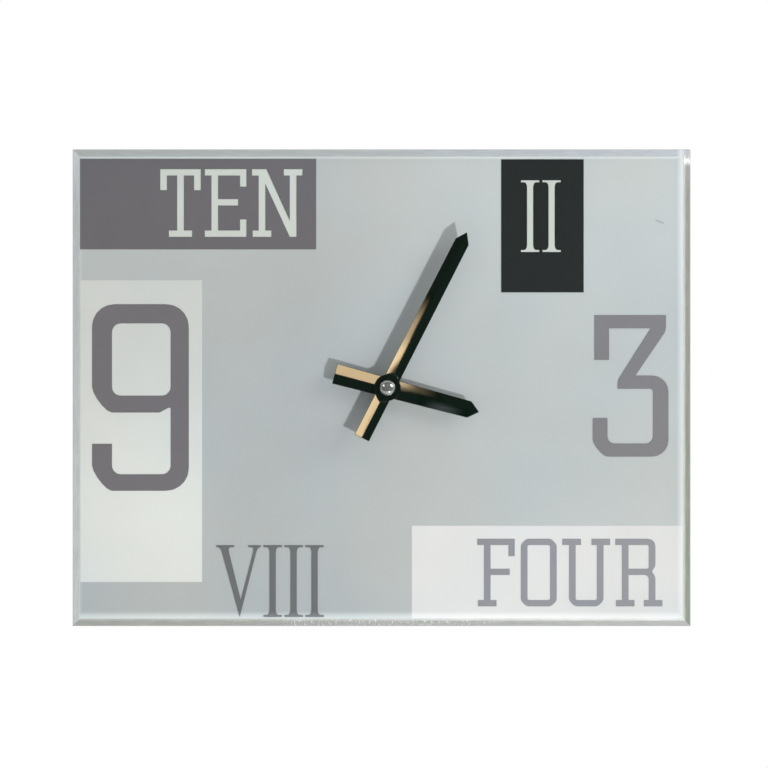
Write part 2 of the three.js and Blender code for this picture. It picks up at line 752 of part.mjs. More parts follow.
function hangerBracket() {
  const half = hanger.width / 2;
  const strap = outerHigh + clearance.stacked;
  const strapTop = strap + hanger.sheet;
  const tabBack = caseBack - hanger.sheet;
  const tabTop = strap + hanger.tabHeight;
  const slotTop = tabTop - hanger.rim;
  const slotBottom = slotTop - hanger.slotHeight;
  const slotHalf = hanger.slotWidth / 2;
  const leg = slab(outline([
    [-half, -hanger.below, hanger.tabCorner], [half, -hanger.below, hanger.tabCorner],
    [half, strapTop], [-half, strapTop],
  ]), caseFront, legFront, [circle(throughHole)]);
  const across = block([-half, half], [strap, strapTop], [tabBack, legFront]);
  const tab = slab(outline([
    [-half, strap], [half, strap], [half, tabTop, hanger.tabCorner], [-half, tabTop, hanger.tabCorner],
  ]), tabBack, caseBack, [outline([
    [-slotHalf, slotBottom], [slotHalf, slotBottom], [slotHalf, slotTop, slotHalf],
    [-slotHalf, slotTop, slotHalf],
  ])]);
  return joined(leg, across, tab);
}

// A flat ring from one height to another
const ring = (outer, bore, from, to, around = sides.round) => slab(
  circle(outer, around), from, to, [circle(bore, around)],
);

const studBase = caseFront - movement.front;

addPart('threaded_stud', turned([
  [studBore, studBase - stud.flange], [studRadius + stud.flangeRim, studBase - stud.flange],
  [studRadius + stud.flangeRim, studBase], [studRadius, studBase], [studRadius, studEnd],
  [studBore, studEnd],
]), brass);
addPart('hanger_bracket', hangerBracket(), brightSteel);
addPart('rubber_washer', ring(throughHole + rubber.rim, throughHole, legFront, coatBack), greyRubber);
addPart('flat_washer', ring(throughHole + washer.rim, throughHole, glassFront, nutBack), brass);
addPart('hex_nut', slab(
  circle((throughHole + nut.wall) / Math.cos(Math.PI / 6), 6), nutBack, nutBack + nut.thickness,
  [circle(throughHole, sides.round)],
), brass);

const pivotStart = boss.bottom + pivot.start;
const pivotEnd = plateBack - pivot.shortOf;

// A gear between two depths
const gear = (teeth, module, phase, start, end) => slab(
  gearOutline(teeth, module, phase), at(end), at(start),
);

// An arbor from the bearing in the front of the case to the one in the train plate
const arbor = () => disc(pivot.radius, at(pivotEnd), at(pivotStart), sides.small);

// A wheel with a pinion on its arbor. The pinion reaches across to the wheel's face.
function wheelAndPinion(wheel, pinion, wheelLevel, pinionLevel) {
  const starts = [layerStart(wheelLevel), layerStart(pinionLevel)];
  const ends = [layerEnd(wheelLevel), layerEnd(pinionLevel)];
  return joined(
    arbor(), gear(wheel.teeth, wheel.module, wheel.phase, starts[0], ends[0]),
    gear(pinion.teeth, pinion.module, pinion.phase, Math.min(...starts), Math.max(...ends)),
  );
}

// Hands: pressed sheet with a ridge along the middle, and a round flat seat for the bush

const hand = { sheet: 0.5, seatRadius: 7, seatOverlap: 0.15, wallLean: 1.1 };
const bush = { wall: 0.9, flange: 0.9, flangeThickness: 0.6, gap: 0.05 };
const hourHand = {
  point: 5.7, shoulder: 47.8, tail: 30.8, tailWidth: 11.6, shoulderWidth: 9.6, ridge: 1.6,
  direction: 104.9,
};
const minuteHand = {
  point: 5.9, shoulder: 92.4, tail: 31.7, tailWidth: 9, shoulderWidth: 8.3, ridge: 1.5,
  direction: 27.1,
};
const cap = { radius: 4.35, base: 1.2, height: 4.3, threadDepth: 2.6, sunk: 0.35 };

const bushFlange = bush.flangeThickness + bush.gap;
const hourSeat = studEnd + clearance.stacked + bushFlange;
const hourTubeEnd = hourSeat + hand.sheet + bush.flangeThickness;
const ridgeTop = hourSeat + hand.sheet + hourHand.ridge;
const minuteSeat = ridgeTop + bushFlange + clearance.stacked * 2;
const capBack = minuteSeat + hand.sheet + bush.flangeThickness + bush.gap;

// A pressed hand that points up, with its seat's underside at height zero
function pressedHand(sizes, hole) {
  const { point, shoulder, tail, tailWidth, shoulderWidth, ridge } = sizes;
  const tip = shoulder + point;
  const half = tailWidth / 2;
  const top = hand.sheet + ridge;
  const blank = slab(outline([
    [0, tip], [-shoulderWidth / 2, shoulder], [-half, -tail], [half, -tail],
    [shoulderWidth / 2, shoulder],
  ]), -overrun, top + overrun);
  const roof = (underside) => new THREE.ExtrudeGeometry(new THREE.Shape(outline([
    [-half, hand.sheet], [-half, 0], [0, underside], [half, 0], [half, hand.sheet], [0, top],
  ])), { depth: tip + tail + 2 * overrun, bevelEnabled: false })
    .rotateX(Math.PI / 2).translate(0, tip + overrun, 0);
  const rise = top + overrun;
  const cone = (radius) => turned([
    [0, -overrun], [radius, -overrun], [radius, hand.sheet],
    [radius + (rise - hand.sheet) * hand.wallLean, rise], [0, rise],
  ], sides.seat);
  const folded = cut(common(blank, roof(ridge)), cone(hand.seatRadius));
  const wall = common(
    blank, roof(0), cut(cone(hand.seatRadius + hand.sheet), cone(hand.seatRadius)),
  );
  const flat = disc(hand.seatRadius + hand.seatOverlap, 0, hand.sheet, sides.seat);
  return cut(joined(folded, wall, flat), disc(hole, -overrun, rise));
}

// A bush with its flange under the seat and its neck through it
function handBush(bore, seat) {
  const neck = bore + bush.wall;
  const flange = neck + bush.flange;
  return turned([
    [bore, seat - bushFlange], [flange, seat - bushFlange], [flange, seat - bush.gap],
    [neck, seat - bush.gap], [neck, seat + hand.sheet + bush.flangeThickness - bush.gap],
    [bore, seat + hand.sheet + bush.flangeThickness - bush.gap],
  ]);
}

const hourBore = hourTubeRadius + clearance.pivot;
const minuteBore = minuteShaft.radius + clearance.pivot;

function pointed(direction) {
  const group = new THREE.Group();
  group.rotation.z = -degrees(direction);
  dial.add(group);
  return group;
}

const hourGroup = pointed(hourHand.direction);
const minuteGroup = pointed(minuteHand.direction);

addPart(
  'hour_hand', pressedHand(hourHand, hourBore + bush.wall + clearance.pivot), handPaint, hourGroup,
).position.z = hourSeat;
addPart('hour_hand_bush', handBush(hourBore, hourSeat), brass, hourGroup);
addPart(
  'minute_hand', pressedHand(minuteHand, minuteBore + bush.wall + clearance.pivot), handPaint,
  minuteGroup,
).position.z = minuteSeat;
addPart('minute_hand_bush', handBush(minuteBore, minuteSeat), brass, minuteGroup);

function capNut() {
  const dome = cap.height - cap.base;
  const steps = 5;
  const arc = Array.from({ length: steps }, (_, i) => {
    const angle = (i * Math.PI) / 2 / steps;
    return [(cap.radius - cap.sunk) * Math.cos(angle), capBack + cap.base + dome * Math.sin(angle)];
  });
  const bore = minuteShaft.threadRadius + clearance.pivot;
  return turned([
    [bore, capBack], [cap.radius - cap.sunk, capBack], [cap.radius, capBack + cap.sunk],
    [cap.radius, capBack + cap.base - cap.sunk], ...arc, [0, capBack + cap.height],
    [0, capBack + cap.threadDepth], [bore, capBack + cap.threadDepth],
  ]);
}

addPart('cap_nut', capNut(), brightSteel, minuteGroup);

// Motion work: it turns with the hands

const hourWheelBack = at(layerEnd(level.hour));
addPart('hour_wheel', cut(
  joined(
    gear(hourGear.teeth, hourModule, hourPhase, layerStart(level.hour), layerEnd(level.hour)),
    disc(hourTubeRadius, hourWheelBack, hourTubeEnd),
  ),
  disc(hourTubeBore, hourWheelBack - overrun, hourTubeEnd + overrun),
), whitePlastic);

const shaftBack = at(layerEnd(level.minute));
const seatBack = at(layerEnd(level.centre) + clearance.slip);
addPart('minute_arbor', joined(
  disc(minuteShaft.radius, shaftBack, capBack - bush.gap * 2),
  disc(minuteShaft.threadRadius, shaftBack, capBack + cap.threadDepth - clearance.stacked),
  gear(cannon.teeth, cannonModule, cannonPhase, layerStart(level.minute), layerEnd(level.minute)),
  disc(minuteShaft.seat, seatBack, shaftBack + layer.face / 2),
  disc(minuteShaft.pivot, at(pivotEnd), shaftBack + layer.face / 2),
), brightSteel);

addPart('center_wheel', slab(
  gearOutline(centreGear.teeth, centreModule, centrePhase),
  at(layerEnd(level.centre)), at(layerStart(level.centre)),
  [circle(minuteShaft.seat + clearance.pivot, sides.small)],
), whitePlastic);

const inPlace = (mesh, place) => mesh.position.set(place.x, place.y, 0);

inPlace(addPart('minute_wheel', wheelAndPinion(
  { teeth: minuteGear.teeth, module: cannonModule, phase: minutePhase },
  { teeth: minuteGear.pinion, module: hourModule, phase: minutePhase },
  level.minute, level.hour,
), whitePlastic), minuteAt);

const knob = {
  stem: 1.5, radius: 5.2, thickness: 1.4, gap: 0.2, flutes: 18, fluteShare: 0.92, openShare: 0.35,
};

// A round outline with shallow flutes for the fingers
function flutedOutline({ radius, flutes, fluteShare, openShare }) {
  const step = (2 * Math.PI) / flutes;
  return Array.from({ length: flutes }, (_, i) => {
    const ridge = [i - openShare / 2, i + openShare / 2];
    const groove = [i + 1 / 2 - openShare / 2, i + 1 / 2 + openShare / 2];
    return [
      ...ridge.map((place) => [radius, place]), ...groove.map((place) => [radius * fluteShare, place]),
    ].map(([reach, place]) => new THREE.Vector2(
      reach * Math.cos(place * step), reach * Math.sin(place * step),
    ));
  }).flat();
}

const knobFront = caseBack - knob.gap;
const knobStemBottom = layerStart(level.minute);
inPlace(addPart('set_knob', joined(
  disc(pivot.radius, knobFront, at(pivotStart), sides.small),
  disc(knob.stem, knobFront - knob.thickness / 2, at(knobStemBottom), sides.small),
  gear(knobGear.teeth, cannonModule, knobPhase, layerStart(level.minute), layerEnd(level.minute)),
  slab(flutedOutline(knob), knobFront - knob.thickness, knobFront),
), whitePlastic), knobAt);

// Going train

inPlace(addPart('third_wheel', wheelAndPinion(
  { teeth: thirdGear.teeth, module: thirdModule, phase: thirdPhase },
  { teeth: thirdGear.pinion, module: centreModule, phase: thirdPhase },
  level.third, level.centre,
), whitePlastic), thirdAt);
inPlace(addPart('fourth_wheel', wheelAndPinion(
  { teeth: fourthGear.teeth, module: fourthGear.module, phase: fourthPhase },
  { teeth: fourthGear.pinion, module: thirdModule, phase: fourthPhase },
  level.fourth, level.third,
), whitePlastic), fourthAt);
inPlace(addPart('fifth_wheel', wheelAndPinion(
  { teeth: fifthGear.teeth, module: fifthGear.module, phase: fifthPhase },
  { teeth: fifthGear.pinion, module: fourthGear.module, phase: fifthPhase },
  level.fifth, level.fourth,
), whitePlastic), fifthAt);
inPlace(addPart('rotor_arbor', joined(
  arbor(),
  gear(
    rotorGear.pinion, fifthGear.module, rotorPhase, layerStart(level.fifth), layerEnd(level.fifth),
  ),
), whitePlastic), rotorAt);

const magnet = { radius: 2.6, thickness: 0.8 };
inPlace(addPart('rotor_magnet', slab(
  circle(magnet.radius), at(statorDepth + magnet.thickness), at(statorDepth),
  [circle(pivot.radius + clearance.pivot / 2, sides.small)],
), magnetGrey), rotorAt);

// Case, its bearings and posts

const coverFront = caseBack + cover.thickness;
const post = { radius: 1.4, pin: 0.75, pinProud: 0.8 };
const lead = {
  width: 1.4, sheet: 0.35, aboveWall: 1.6, onBoard: 2, foot: 5.4, besideKnob: 0.35, besideBoard: 2.6,
};
const board = { inWall: 2.8, gap: 0.4, thickness: 0.8, postInset: 1.8 };
const plateOutline = {
  side: 1.6, bottom: 1, underCoil: 1.1, beforeBoard: 0.6, aboveKnob: 2.32, postInset: 1.6,
  lowPost: 4.2,
};
const leadX = knobAt.x - knob.stem - lead.besideKnob - lead.width;
const boardLeft = leadX - lead.besideBoard;
const boardRight = innerHalf - board.inWall;
const plateLeft = -innerHalf + plateOutline.side;
const plateRight = innerHalf - plateOutline.side;
const plateBottom = cavityBottom + plateOutline.bottom;
const plateTop = coilY - coil.flange - plateOutline.underCoil;
const plateStepX = boardLeft - plateOutline.beforeBoard;
const plateStepY = knobAt.y + knob.stem + plateOutline.aboveKnob;
const boardBottom = plateStepY + board.gap;
const boardTop = innerHigh - board.gap;

const platePosts = [
  [plateLeft + plateOutline.postInset, plateBottom + plateOutline.lowPost],
  [plateRight - plateOutline.postInset, plateBottom + plateOutline.lowPost],
  [plateLeft + plateOutline.postInset, plateTop - plateOutline.postInset],
  [plateRight - plateOutline.postInset, plateStepY - plateOutline.postInset],
];
const boardPosts = [
  [boardRight - board.postInset, boardTop - board.postInset],
  [boardLeft + board.postInset, boardTop - board.postInset],
  [boardRight - board.postInset, boardBottom + board.postInset],
];
const bearings = [minuteAt, knobAt, thirdAt, fourthAt, fifthAt, rotorAt];
const bearingRadius = pivot.radius + clearance.pivot;

// The sheet that carries the battery's current passes the wall of the bay in a notch
const tailDepth = plateBack + contact.gap;
const notch = { width: 1.2, spare: 0.3 };

// The rear cover's outline, less a clearance all round
function coverOutline(less) {
  const across = innerHalf + cover.ledge - less;
  return roundedRectangle(
    -across, cavityBottom - cover.ledge + less, across, innerHigh + cover.ledge - less,
    movement.corner - cover.ledge,
  );
}

function movementCase() {
  const shell = cut(
    slab(
      roundedRectangle(-outerHalf, -outerHigh, outerHalf, outerHigh, movement.corner),
      caseBack, caseFront,
    ),
    block([bayLeft, bayRight], [bayBottom, bayTop], [caseBack - overrun, at(movement.front)]),
    block([-innerHalf, innerHalf], [cavityBottom, innerHigh], [caseBack - overrun, at(movement.front)]),
    slab(coverOutline(0), caseBack - overrun, coverFront),
  );
  const sunk = at(movement.front / 2);
  const standing = [
    ...bearings.map(({ x, y }) => disc(
      bearingRadius + boss.wall, at(movement.front + boss.height), sunk, sides.small, x, y,
    )),
    ...platePosts.map(([x, y]) => disc(post.radius, at(plateDepth), sunk, sides.small, x, y)),
    ...platePosts.map(([x, y]) => disc(
      post.pin, at(plateBack + post.pinProud), sunk, sides.small, x, y,
    )),
    ...boardPosts.map(([x, y]) => disc(
      post.radius, at(plateBack - board.thickness), sunk, sides.small, x, y,
    )),
  ];
  const openings = [
    disc(throughHole, at(movement.front) - overrun, caseFront + overrun),
    ...bearings.map(({ x, y }) => disc(
      bearingRadius, at(movement.front + boss.height) - overrun, at(boss.bottom), sides.small, x, y,
    )),
    ...[[bayLeft, bayLeft + notch.width], [bayRight - notch.width, bayRight]].map((across) => block(
      across, [bayTop - overrun, cavityBottom + overrun], [coverFront, at(tailDepth - notch.spare)],
    )),
  ];
  return cut(joined(shell, ...standing), ...openings);
}

addPart('movement_case', movementCase(), blackPlastic);

// The plate behind the wheels, held on the case's posts
addPart('train_plate', slab(outline([
  [plateLeft, plateBottom], [plateRight, plateBottom], [plateRight, plateStepY],
  [plateStepX, plateStepY], [plateStepX, plateTop], [plateLeft, plateTop],
]), at(plateBack), at(plateDepth), [
  ...[minuteAt, thirdAt, fourthAt, fifthAt, rotorAt].map(
    ({ x, y }) => circle(bearingRadius, sides.small, x, y),
  ),
  circle(knob.stem + clearance.round, sides.small, knobAt.x, knobAt.y),
  circle(minuteShaft.pivot + clearance.pivot, sides.small),
  ...platePosts.map(([x, y]) => circle(post.pin + clearance.pivot, sides.small, x, y)),
]), whitePlastic);

addPart('rear_cover', slab(coverOutline(clearance.slip), caseBack, coverFront, [
  circle(knob.stem + clearance.round, sides.small, knobAt.x, knobAt.y),
]), blackPlastic);

// Motor

const poleReach = rotorDistance - pivot.radius - pole.gap;
const poleBottom = rotorAt.y - pole.low;
const legTop = coilY + leg.aboveCoil;
const legInside = rotorAt.y + leg.inside;
const legOutside = rotorAt.y + leg.outside;
const coilLeft = legLeft + leg.width + coil.beside;
const coilRight = legRight - leg.width - coil.beside;
const coilDepth = coreDepth + core.thickness / 2;

addPart('stator_plate', slab(outline([
  [legLeft, legOutside], [rotorAt.x - poleReach, legOutside],
  [rotorAt.x - poleReach, poleBottom + pole.chamfer],
  [rotorAt.x - poleReach + pole.chamfer, poleBottom],
  [rotorAt.x + poleReach - pole.chamfer, poleBottom],
  [rotorAt.x + poleReach, poleBottom + pole.chamfer],
  [rotorAt.x + poleReach, legOutside], [legRight, legOutside], [legRight, legTop],
  [legRight - leg.width, legTop], [legRight - leg.width, legInside],
  [legLeft + leg.width, legInside], [legLeft + leg.width, legTop], [legLeft, legTop],
]), at(plateDepth), at(statorDepth), [
  circle(magnet.radius + stator.gap, sides.round, rotorAt.x, rotorAt.y),
]), brightSteel);

addPart('coil_core', block(
  [legLeft + core.inset, legRight - core.inset], [coilY - core.height / 2, coilY + core.height / 2],
  [at(statorDepth), at(coreDepth)],
), brightSteel);

// A body turned about the coil's axis, which lies along X
function onCoil(profile) {
  return turned(profile).rotateY(Math.PI / 2).translate(0, coilY, at(coilDepth));
}

function coilBobbin() {
  const { tube, flange, flangeThickness } = coil;
  const spool = onCoil([
    [0, coilLeft], [flange, coilLeft], [flange, coilLeft + flangeThickness],
    [tube, coilLeft + flangeThickness], [tube, coilRight - flangeThickness],
    [flange, coilRight - flangeThickness], [flange, coilRight], [0, coilRight],
  ]);
  const halfSlot = core.height / 2 + coil.slip;
  const slot = block(
    [coilLeft - overrun, coilRight + overrun], [coilY - halfSlot, coilY + halfSlot],
    [at(statorDepth + coil.slip), at(coreDepth - coil.slip)],
  );
  return cut(spool, slot);
}

addPart('coil_bobbin', coilBobbin(), whitePlastic);

const windingLeft = coilLeft + coil.flangeThickness + coil.slip;
const windingRight = coilRight - coil.flangeThickness - coil.slip;
addPart('coil_winding', onCoil([
  [coil.tube + coil.slip, windingLeft], [coil.wire, windingLeft], [coil.wire, windingRight],
  [coil.tube + coil.slip, windingRight],
]), copper);

// Electrics

const chip = { fromLeft: 3.1, fromTop: 4, width: 5, height: 4, thickness: 1.1 };
const crystal = { fromLeft: 4.4, fromBottom: 3.8, radius: 0.95, length: 5.6 };

addPart('circuit_board', slab(
  rectangle(boardLeft, boardBottom, boardRight, boardTop), at(plateBack),
  at(plateBack - board.thickness),
), boardGreen);
addPart('driver_chip', block(
  [boardLeft + chip.fromLeft, boardLeft + chip.fromLeft + chip.width],
  [boardTop - chip.fromTop - chip.height, boardTop - chip.fromTop],
  [at(plateBack + chip.thickness), at(plateBack)],
), blackPlastic);
addPart('quartz_crystal', turned([
  [0, 0], [crystal.radius, 0], [crystal.radius, crystal.length], [0, crystal.length],
], sides.small).rotateY(Math.PI / 2).translate(
  boardLeft + crystal.fromLeft, boardBottom + crystal.fromBottom,
  at(plateBack + crystal.radius + contact.lift),
), brightSteel);

// Battery and its contacts

const bayAxis = bayBottom + battery.clearance + battery.radius;
const batteryDepth = caseDepth - battery.clearance - battery.radius;
const batteryLeft = bayLeft + battery.fromEnd;
const batteryRight = batteryLeft + battery.length;
const negativeEnd = { radius: 5, recess: 0.3 };
const shoulderRound = 0.6;

addPart('battery_cell', turned([
  [0, batteryLeft + negativeEnd.recess], [negativeEnd.radius, batteryLeft + negativeEnd.recess],
  [negativeEnd.radius, batteryLeft], [battery.radius - shoulderRound, batteryLeft],
  [battery.radius, batteryLeft + shoulderRound], [battery.radius, batteryRight - shoulderRound],
  [battery.radius - shoulderRound, batteryRight], [battery.nubRadius, batteryRight],
  [battery.nubRadius, batteryRight + battery.nub], [0, batteryRight + battery.nub],
]).rotateY(Math.PI / 2).translate(0, bayAxis, at(batteryDepth)), cellJacket);

// An end plate against the wall of the bay, with a tail that climbs past it
function contactPlate(across, tailTop) {
  const padTop = bayTop - contact.underTop;
  return joined(
    block(
      across, [bayAxis - contact.below, padTop],
      [at(tailDepth + contact.lap), at(batteryDepth - contact.ahead)],
    ),
    block(
      across, [padTop - overrun, tailTop],
      [at(tailDepth + contact.tail), at(tailDepth)],
    ),
  );
}

const leadBottom = cavityBottom + lead.aboveWall;
const leadTop = boardBottom + lead.onBoard;
const leadBack = at(plateBack + contact.lift + lead.sheet);
const leadFront = at(plateBack + contact.lift);
const positiveOuter = bayRight - contact.gap;
const negativeOuter = bayLeft + contact.gap;

addPart('contact_positive', joined(
  contactPlate([positiveOuter - contact.sheet, positiveOuter], leadTop),
  block(
    [positiveOuter - lead.foot, positiveOuter - contact.sheet / 2],
    [leadTop - lead.width, leadTop], [leadBack, leadFront],
  ),
), brightSteel);

// The other contact carries a leaf, bent out towards the cell
function contactNegative() {
  const base = negativeOuter + contact.sheet / 2;
  const reach = batteryLeft - clearance.slip;
  const [low, high] = [bayAxis - battery.nubRadius, bayAxis + battery.nubRadius];
  const leafEnd = low + (high - low) * contact.leafShare;
  const leaf = outline([
    [base, low], [base + contact.sheet, low], [reach, leafEnd], [reach, high],
    [reach - contact.sheet, high], [reach - contact.sheet, leafEnd],
  ]);
  return joined(
    contactPlate([negativeOuter, negativeOuter + contact.sheet], leadBottom + lead.width),
    slab(leaf, at(batteryDepth + battery.nubRadius), at(batteryDepth - battery.nubRadius)),
  );
}

addPart('contact_negative', contactNegative(), brightSteel);

// The strip from the negative contact, across the train plate to the board
const leadStart = negativeOuter + contact.sheet + clearance.pivot;
addPart('negative_lead', slab(outline([
  [leadStart, leadBottom], [leadX + lead.width, leadBottom], [leadX + lead.width, leadTop],
  [leadX, leadTop], [leadX, leadBottom + lead.width], [leadStart, leadBottom + lead.width],
]), leadBack, leadFront), brass);

// Stands the dial up and puts the origin at the top of the hanging slot
const clock = new THREE.Group();
dial.matrixAutoUpdate = false;
dial.matrix.set(
  1, 0, 0, 0,
  0, 0, -1, 0,
  0, 1, 0, -hangHeight,
  0, 0, 0, 1,
);
clock.add(dial);

export default clock;
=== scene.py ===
# A rectangular wall clock of bevelled glass, printed on its back, with two folded black hands and a
# battery movement behind. Lengths are in metres: +X right, +Z up, and the viewer stands at -Y.

import json
import math

import bmesh
import bpy
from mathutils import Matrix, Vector


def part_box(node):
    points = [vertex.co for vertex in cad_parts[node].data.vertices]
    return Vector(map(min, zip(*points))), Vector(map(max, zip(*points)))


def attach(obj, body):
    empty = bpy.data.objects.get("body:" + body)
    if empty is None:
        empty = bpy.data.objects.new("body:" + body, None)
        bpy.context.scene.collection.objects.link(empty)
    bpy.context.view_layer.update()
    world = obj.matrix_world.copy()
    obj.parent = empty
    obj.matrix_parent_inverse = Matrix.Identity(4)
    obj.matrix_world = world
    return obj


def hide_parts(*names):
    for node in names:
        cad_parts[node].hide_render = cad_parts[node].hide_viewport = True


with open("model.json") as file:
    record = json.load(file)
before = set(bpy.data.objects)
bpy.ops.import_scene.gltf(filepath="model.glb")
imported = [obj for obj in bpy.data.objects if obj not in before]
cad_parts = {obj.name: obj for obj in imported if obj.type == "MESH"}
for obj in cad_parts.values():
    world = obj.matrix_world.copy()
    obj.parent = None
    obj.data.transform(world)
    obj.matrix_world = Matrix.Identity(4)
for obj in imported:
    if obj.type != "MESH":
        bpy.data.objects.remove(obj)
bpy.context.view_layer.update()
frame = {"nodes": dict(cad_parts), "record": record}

MM = 0.001
TURN = 2 * math.pi
camera_at = Vector((-0.00194, -1.6235, -0.0406))


# Places read from the frame

def middle(node):
    low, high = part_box(node)
    return (low + high) / 2


hub = middle("cap_nut")
panel_low, panel_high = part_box("glass_panel")
print_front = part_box("block_ten")[0].y


# Node trees

class Tree:
    """A material's or a world's node tree, with short calls for the nodes that every finish uses."""

    def __init__(self, name, kind="materials"):
        self.holder = getattr(bpy.data, kind).new(name)
        self.holder.use_nodes = True
        self.tree = self.holder.node_tree
        self.tree.nodes.clear()
        in_room = kind == "worlds"
        self.output = self.add("ShaderNodeOutputWorld" if in_room else "ShaderNodeOutputMaterial")
        self.place = self.add("ShaderNodeTexCoord").outputs["Generated" if in_room else "Object"]

    def add(self, kind, inputs=None, **settings):
        """A new node. Its inputs, by name or number, take plain values or other nodes' outputs."""
        node = self.tree.nodes.new(kind)
        for key, value in settings.items():
            setattr(node, key, value)
        for key, value in (inputs or {}).items():
            if hasattr(value, "is_output"):
                self.tree.links.new(value, node.inputs[key])
            else:
                node.inputs[key].default_value = value
        return node

    def math(self, operation, a, b=0.0):
        return self.add("ShaderNodeMath", {0: a, 1: b}, operation=operation).outputs[0]

    def plus(self, a, b):
        return self.math("ADD", a, b)

    def minus(self, a, b):
        return self.math("SUBTRACT", a, b)

    def times(self, first, *others):
        for value in others:
            first = self.math("MULTIPLY", first, value)
        return first

    def waves(self, value, length):
        return self.math("SINE", self.times(value, TURN / length))

    def span(self, value, low, high, to_low=0.0, to_high=1.0):
        """A smooth step from to_low to to_high, as the value goes from low to high."""
        return self.add("ShaderNodeMapRange", {
            "Value": value, "From Min": low, "From Max": high, "To Min": to_low, "To Max": to_high,
        }, interpolation_type="SMOOTHSTEP").outputs["Result"]

    def axis(self, name):
        return self.add("ShaderNodeSeparateXYZ", {0: self.place}).outputs[name]

    def stretched(self, scale):
        return self.add("ShaderNodeMapping", {"Scale": scale, "Vector": self.place}).outputs["Vector"]

    def noise(self, scale, detail, rough=0.5, vector=None):
        return self.add("ShaderNodeTexNoise", {
            "Vector": self.place if vector is None else vector, "Scale": scale, "Detail": detail,
            "Roughness": rough,
        }).outputs["Fac"]

    def mix(self, share, a, b, kind="RGBA"):
        node = self.add("ShaderNodeMix", {"Factor": share, "A": a, "B": b}, data_type=kind)
        return node.outputs["Result"]

    def scaled(self, tone, share):
        return self.add("ShaderNodeVectorMath", {0: tone, "Scale": share}, operation="SCALE").outputs[0]

    def blend_of(self, share, first, second):
        """A mix of two shaders."""
        return self.add("ShaderNodeMixShader", {0: share, 1: first, 2: second}).outputs[0]

    def edges(self, radius):
        return self.add("ShaderNodeBevel", {"Radius": radius}, samples=6).outputs["Normal"]

    def bump(self, height, strength, distance, normal=None):
        inputs = {"Strength": strength, "Distance": distance, "Height": height}
        if normal is not None:
            inputs["Normal"] = normal
        return self.add("ShaderNodeBump", inputs).outputs["Normal"]

    def surface(self, **inputs):
        named = {key.replace("_", " "): value for key, value in inputs.items()}
        return self.add("ShaderNodeBsdfPrincipled", named).outputs["BSDF"]

    def finish(self, shader):
        self.tree.links.new(shader, self.output.inputs["Surface"])
        return self.holder


def linear(level):
    return level / 12.92 if level <= 0.04045 else ((level + 0.055) / 1.055) ** 2.4


def colour(red, green, blue):
    """A colour given in the 0 to 255 levels of a screen, as Blender's linear colour."""
    return tuple(linear(level / 255) for level in (red, green, blue)) + (1.0,)


def toned(base, share, lift=0.0):
    """The same hue, darker or lighter."""
    return tuple(min(level * share + lift, 1) for level in base[:3]) + (1,)


# Ink, and the painted light that the bevels gather on it

BEVEL = 4 * MM
BEVEL_DROP = 1.2 * MM
MOTTLE = 0.03
CLOUD = 0.025
NICK_END = 1 * MM
NICK_LEVEL = 0.7

# Painted light: the bright line that the bevels gather on the print
# Each row: the axis across a side, its bevel's inner edge, the way into the panel, reach and strength
PAINTED_BEVEL_LIGHT = (
    ("X", panel_high.x - BEVEL, -1, 3.9 * MM, 0.48),
    ("Z", panel_low.z + BEVEL, 1, 4.7 * MM, 0.63),
    ("Z", panel_high.z - BEVEL, -1, 1.9 * MM, 0.28),
    ("X", panel_low.x + BEVEL, 1, 1.6 * MM, 0.12),
)


def painted_edge_light(t):
    """Painted light: the light that the bevels gather on the print, from the distance to each edge."""
    total = None
    for axis, edge, inward, reach, strength in PAINTED_BEVEL_LIGHT:
        depth = t.times(t.minus(t.axis(axis), edge), inward)
        line = t.span(depth, 0.0, reach, strength, 0.0)
        total = line if total is None else t.math("MAXIMUM", total, line)
    return total


def nick_line(t, start, end, width):
    """A fine line on the print between two places (x, z): 1 along it and 0 off it."""
    (x0, z0), (x1, z1) = start, end
    length = math.hypot(x1 - x0, z1 - z0)
    dx, dz = (x1 - x0) / length, (z1 - z0) / length
    x, z = t.minus(t.axis("X"), x0), t.minus(t.axis("Z"), z0)
    along = t.plus(t.times(x, dx), t.times(z, dz))
    off = t.math("ABSOLUTE", t.minus(t.times(x, dz), t.times(z, dx)))
    first_end = t.span(along, 0.0, NICK_END)
    last_end = t.span(along, length - NICK_END, length, 1.0, 0.0)
    return t.times(t.span(off, width / 4, width, 1.0, 0.0), t.times(first_end, last_end))


def printed_ink(name, levels, fades=(), gathered=1.0, nick=None):
    """Screen ink seen through the glass: a fine mottle, slow clouds of thickness, and, painted into its
    colour, as large a share as gathered says of the light that the bevels gather near the panel's edges. A
    fade is painted shading, the ink lighter or darker along an axis: the axis, two places on it and two
    strengths. A nick is two places and a width."""
    t = Tree(name)
    fine = t.span(t.noise(2600, 2), 0.3, 0.7, 1 - MOTTLE, 1 + MOTTLE)
    slow = t.span(t.noise(14, 3, 0.55), 0.3, 0.7, 1 - CLOUD, 1 + CLOUD)
    shade = t.times(fine, slow, t.plus(t.times(painted_edge_light(t), gathered), 1.0))
    if nick:
        shade = t.times(shade, t.span(nick_line(t, *nick), 0.0, 1.0, 1.0, NICK_LEVEL))
    # Each fade is painted shading: the ink lighter or darker along an axis
    for axis, start, end, first, last in fades:
        shade = t.times(shade, t.span(t.axis(axis), start, end, first, last))
    cooler = [level * share for level, share in zip(levels, (0.985, 0.995, 1.012))]
    tint = t.mix(t.span(t.noise(9, 2), 0.35, 0.65), colour(*levels), colour(*cooler))
    return t.finish(t.surface(
        Base_Color=t.scaled(tint, shade), Roughness=0.62, Specular_IOR_Level=0.25,
    ))


# Finishes of metal, plastic and the rest

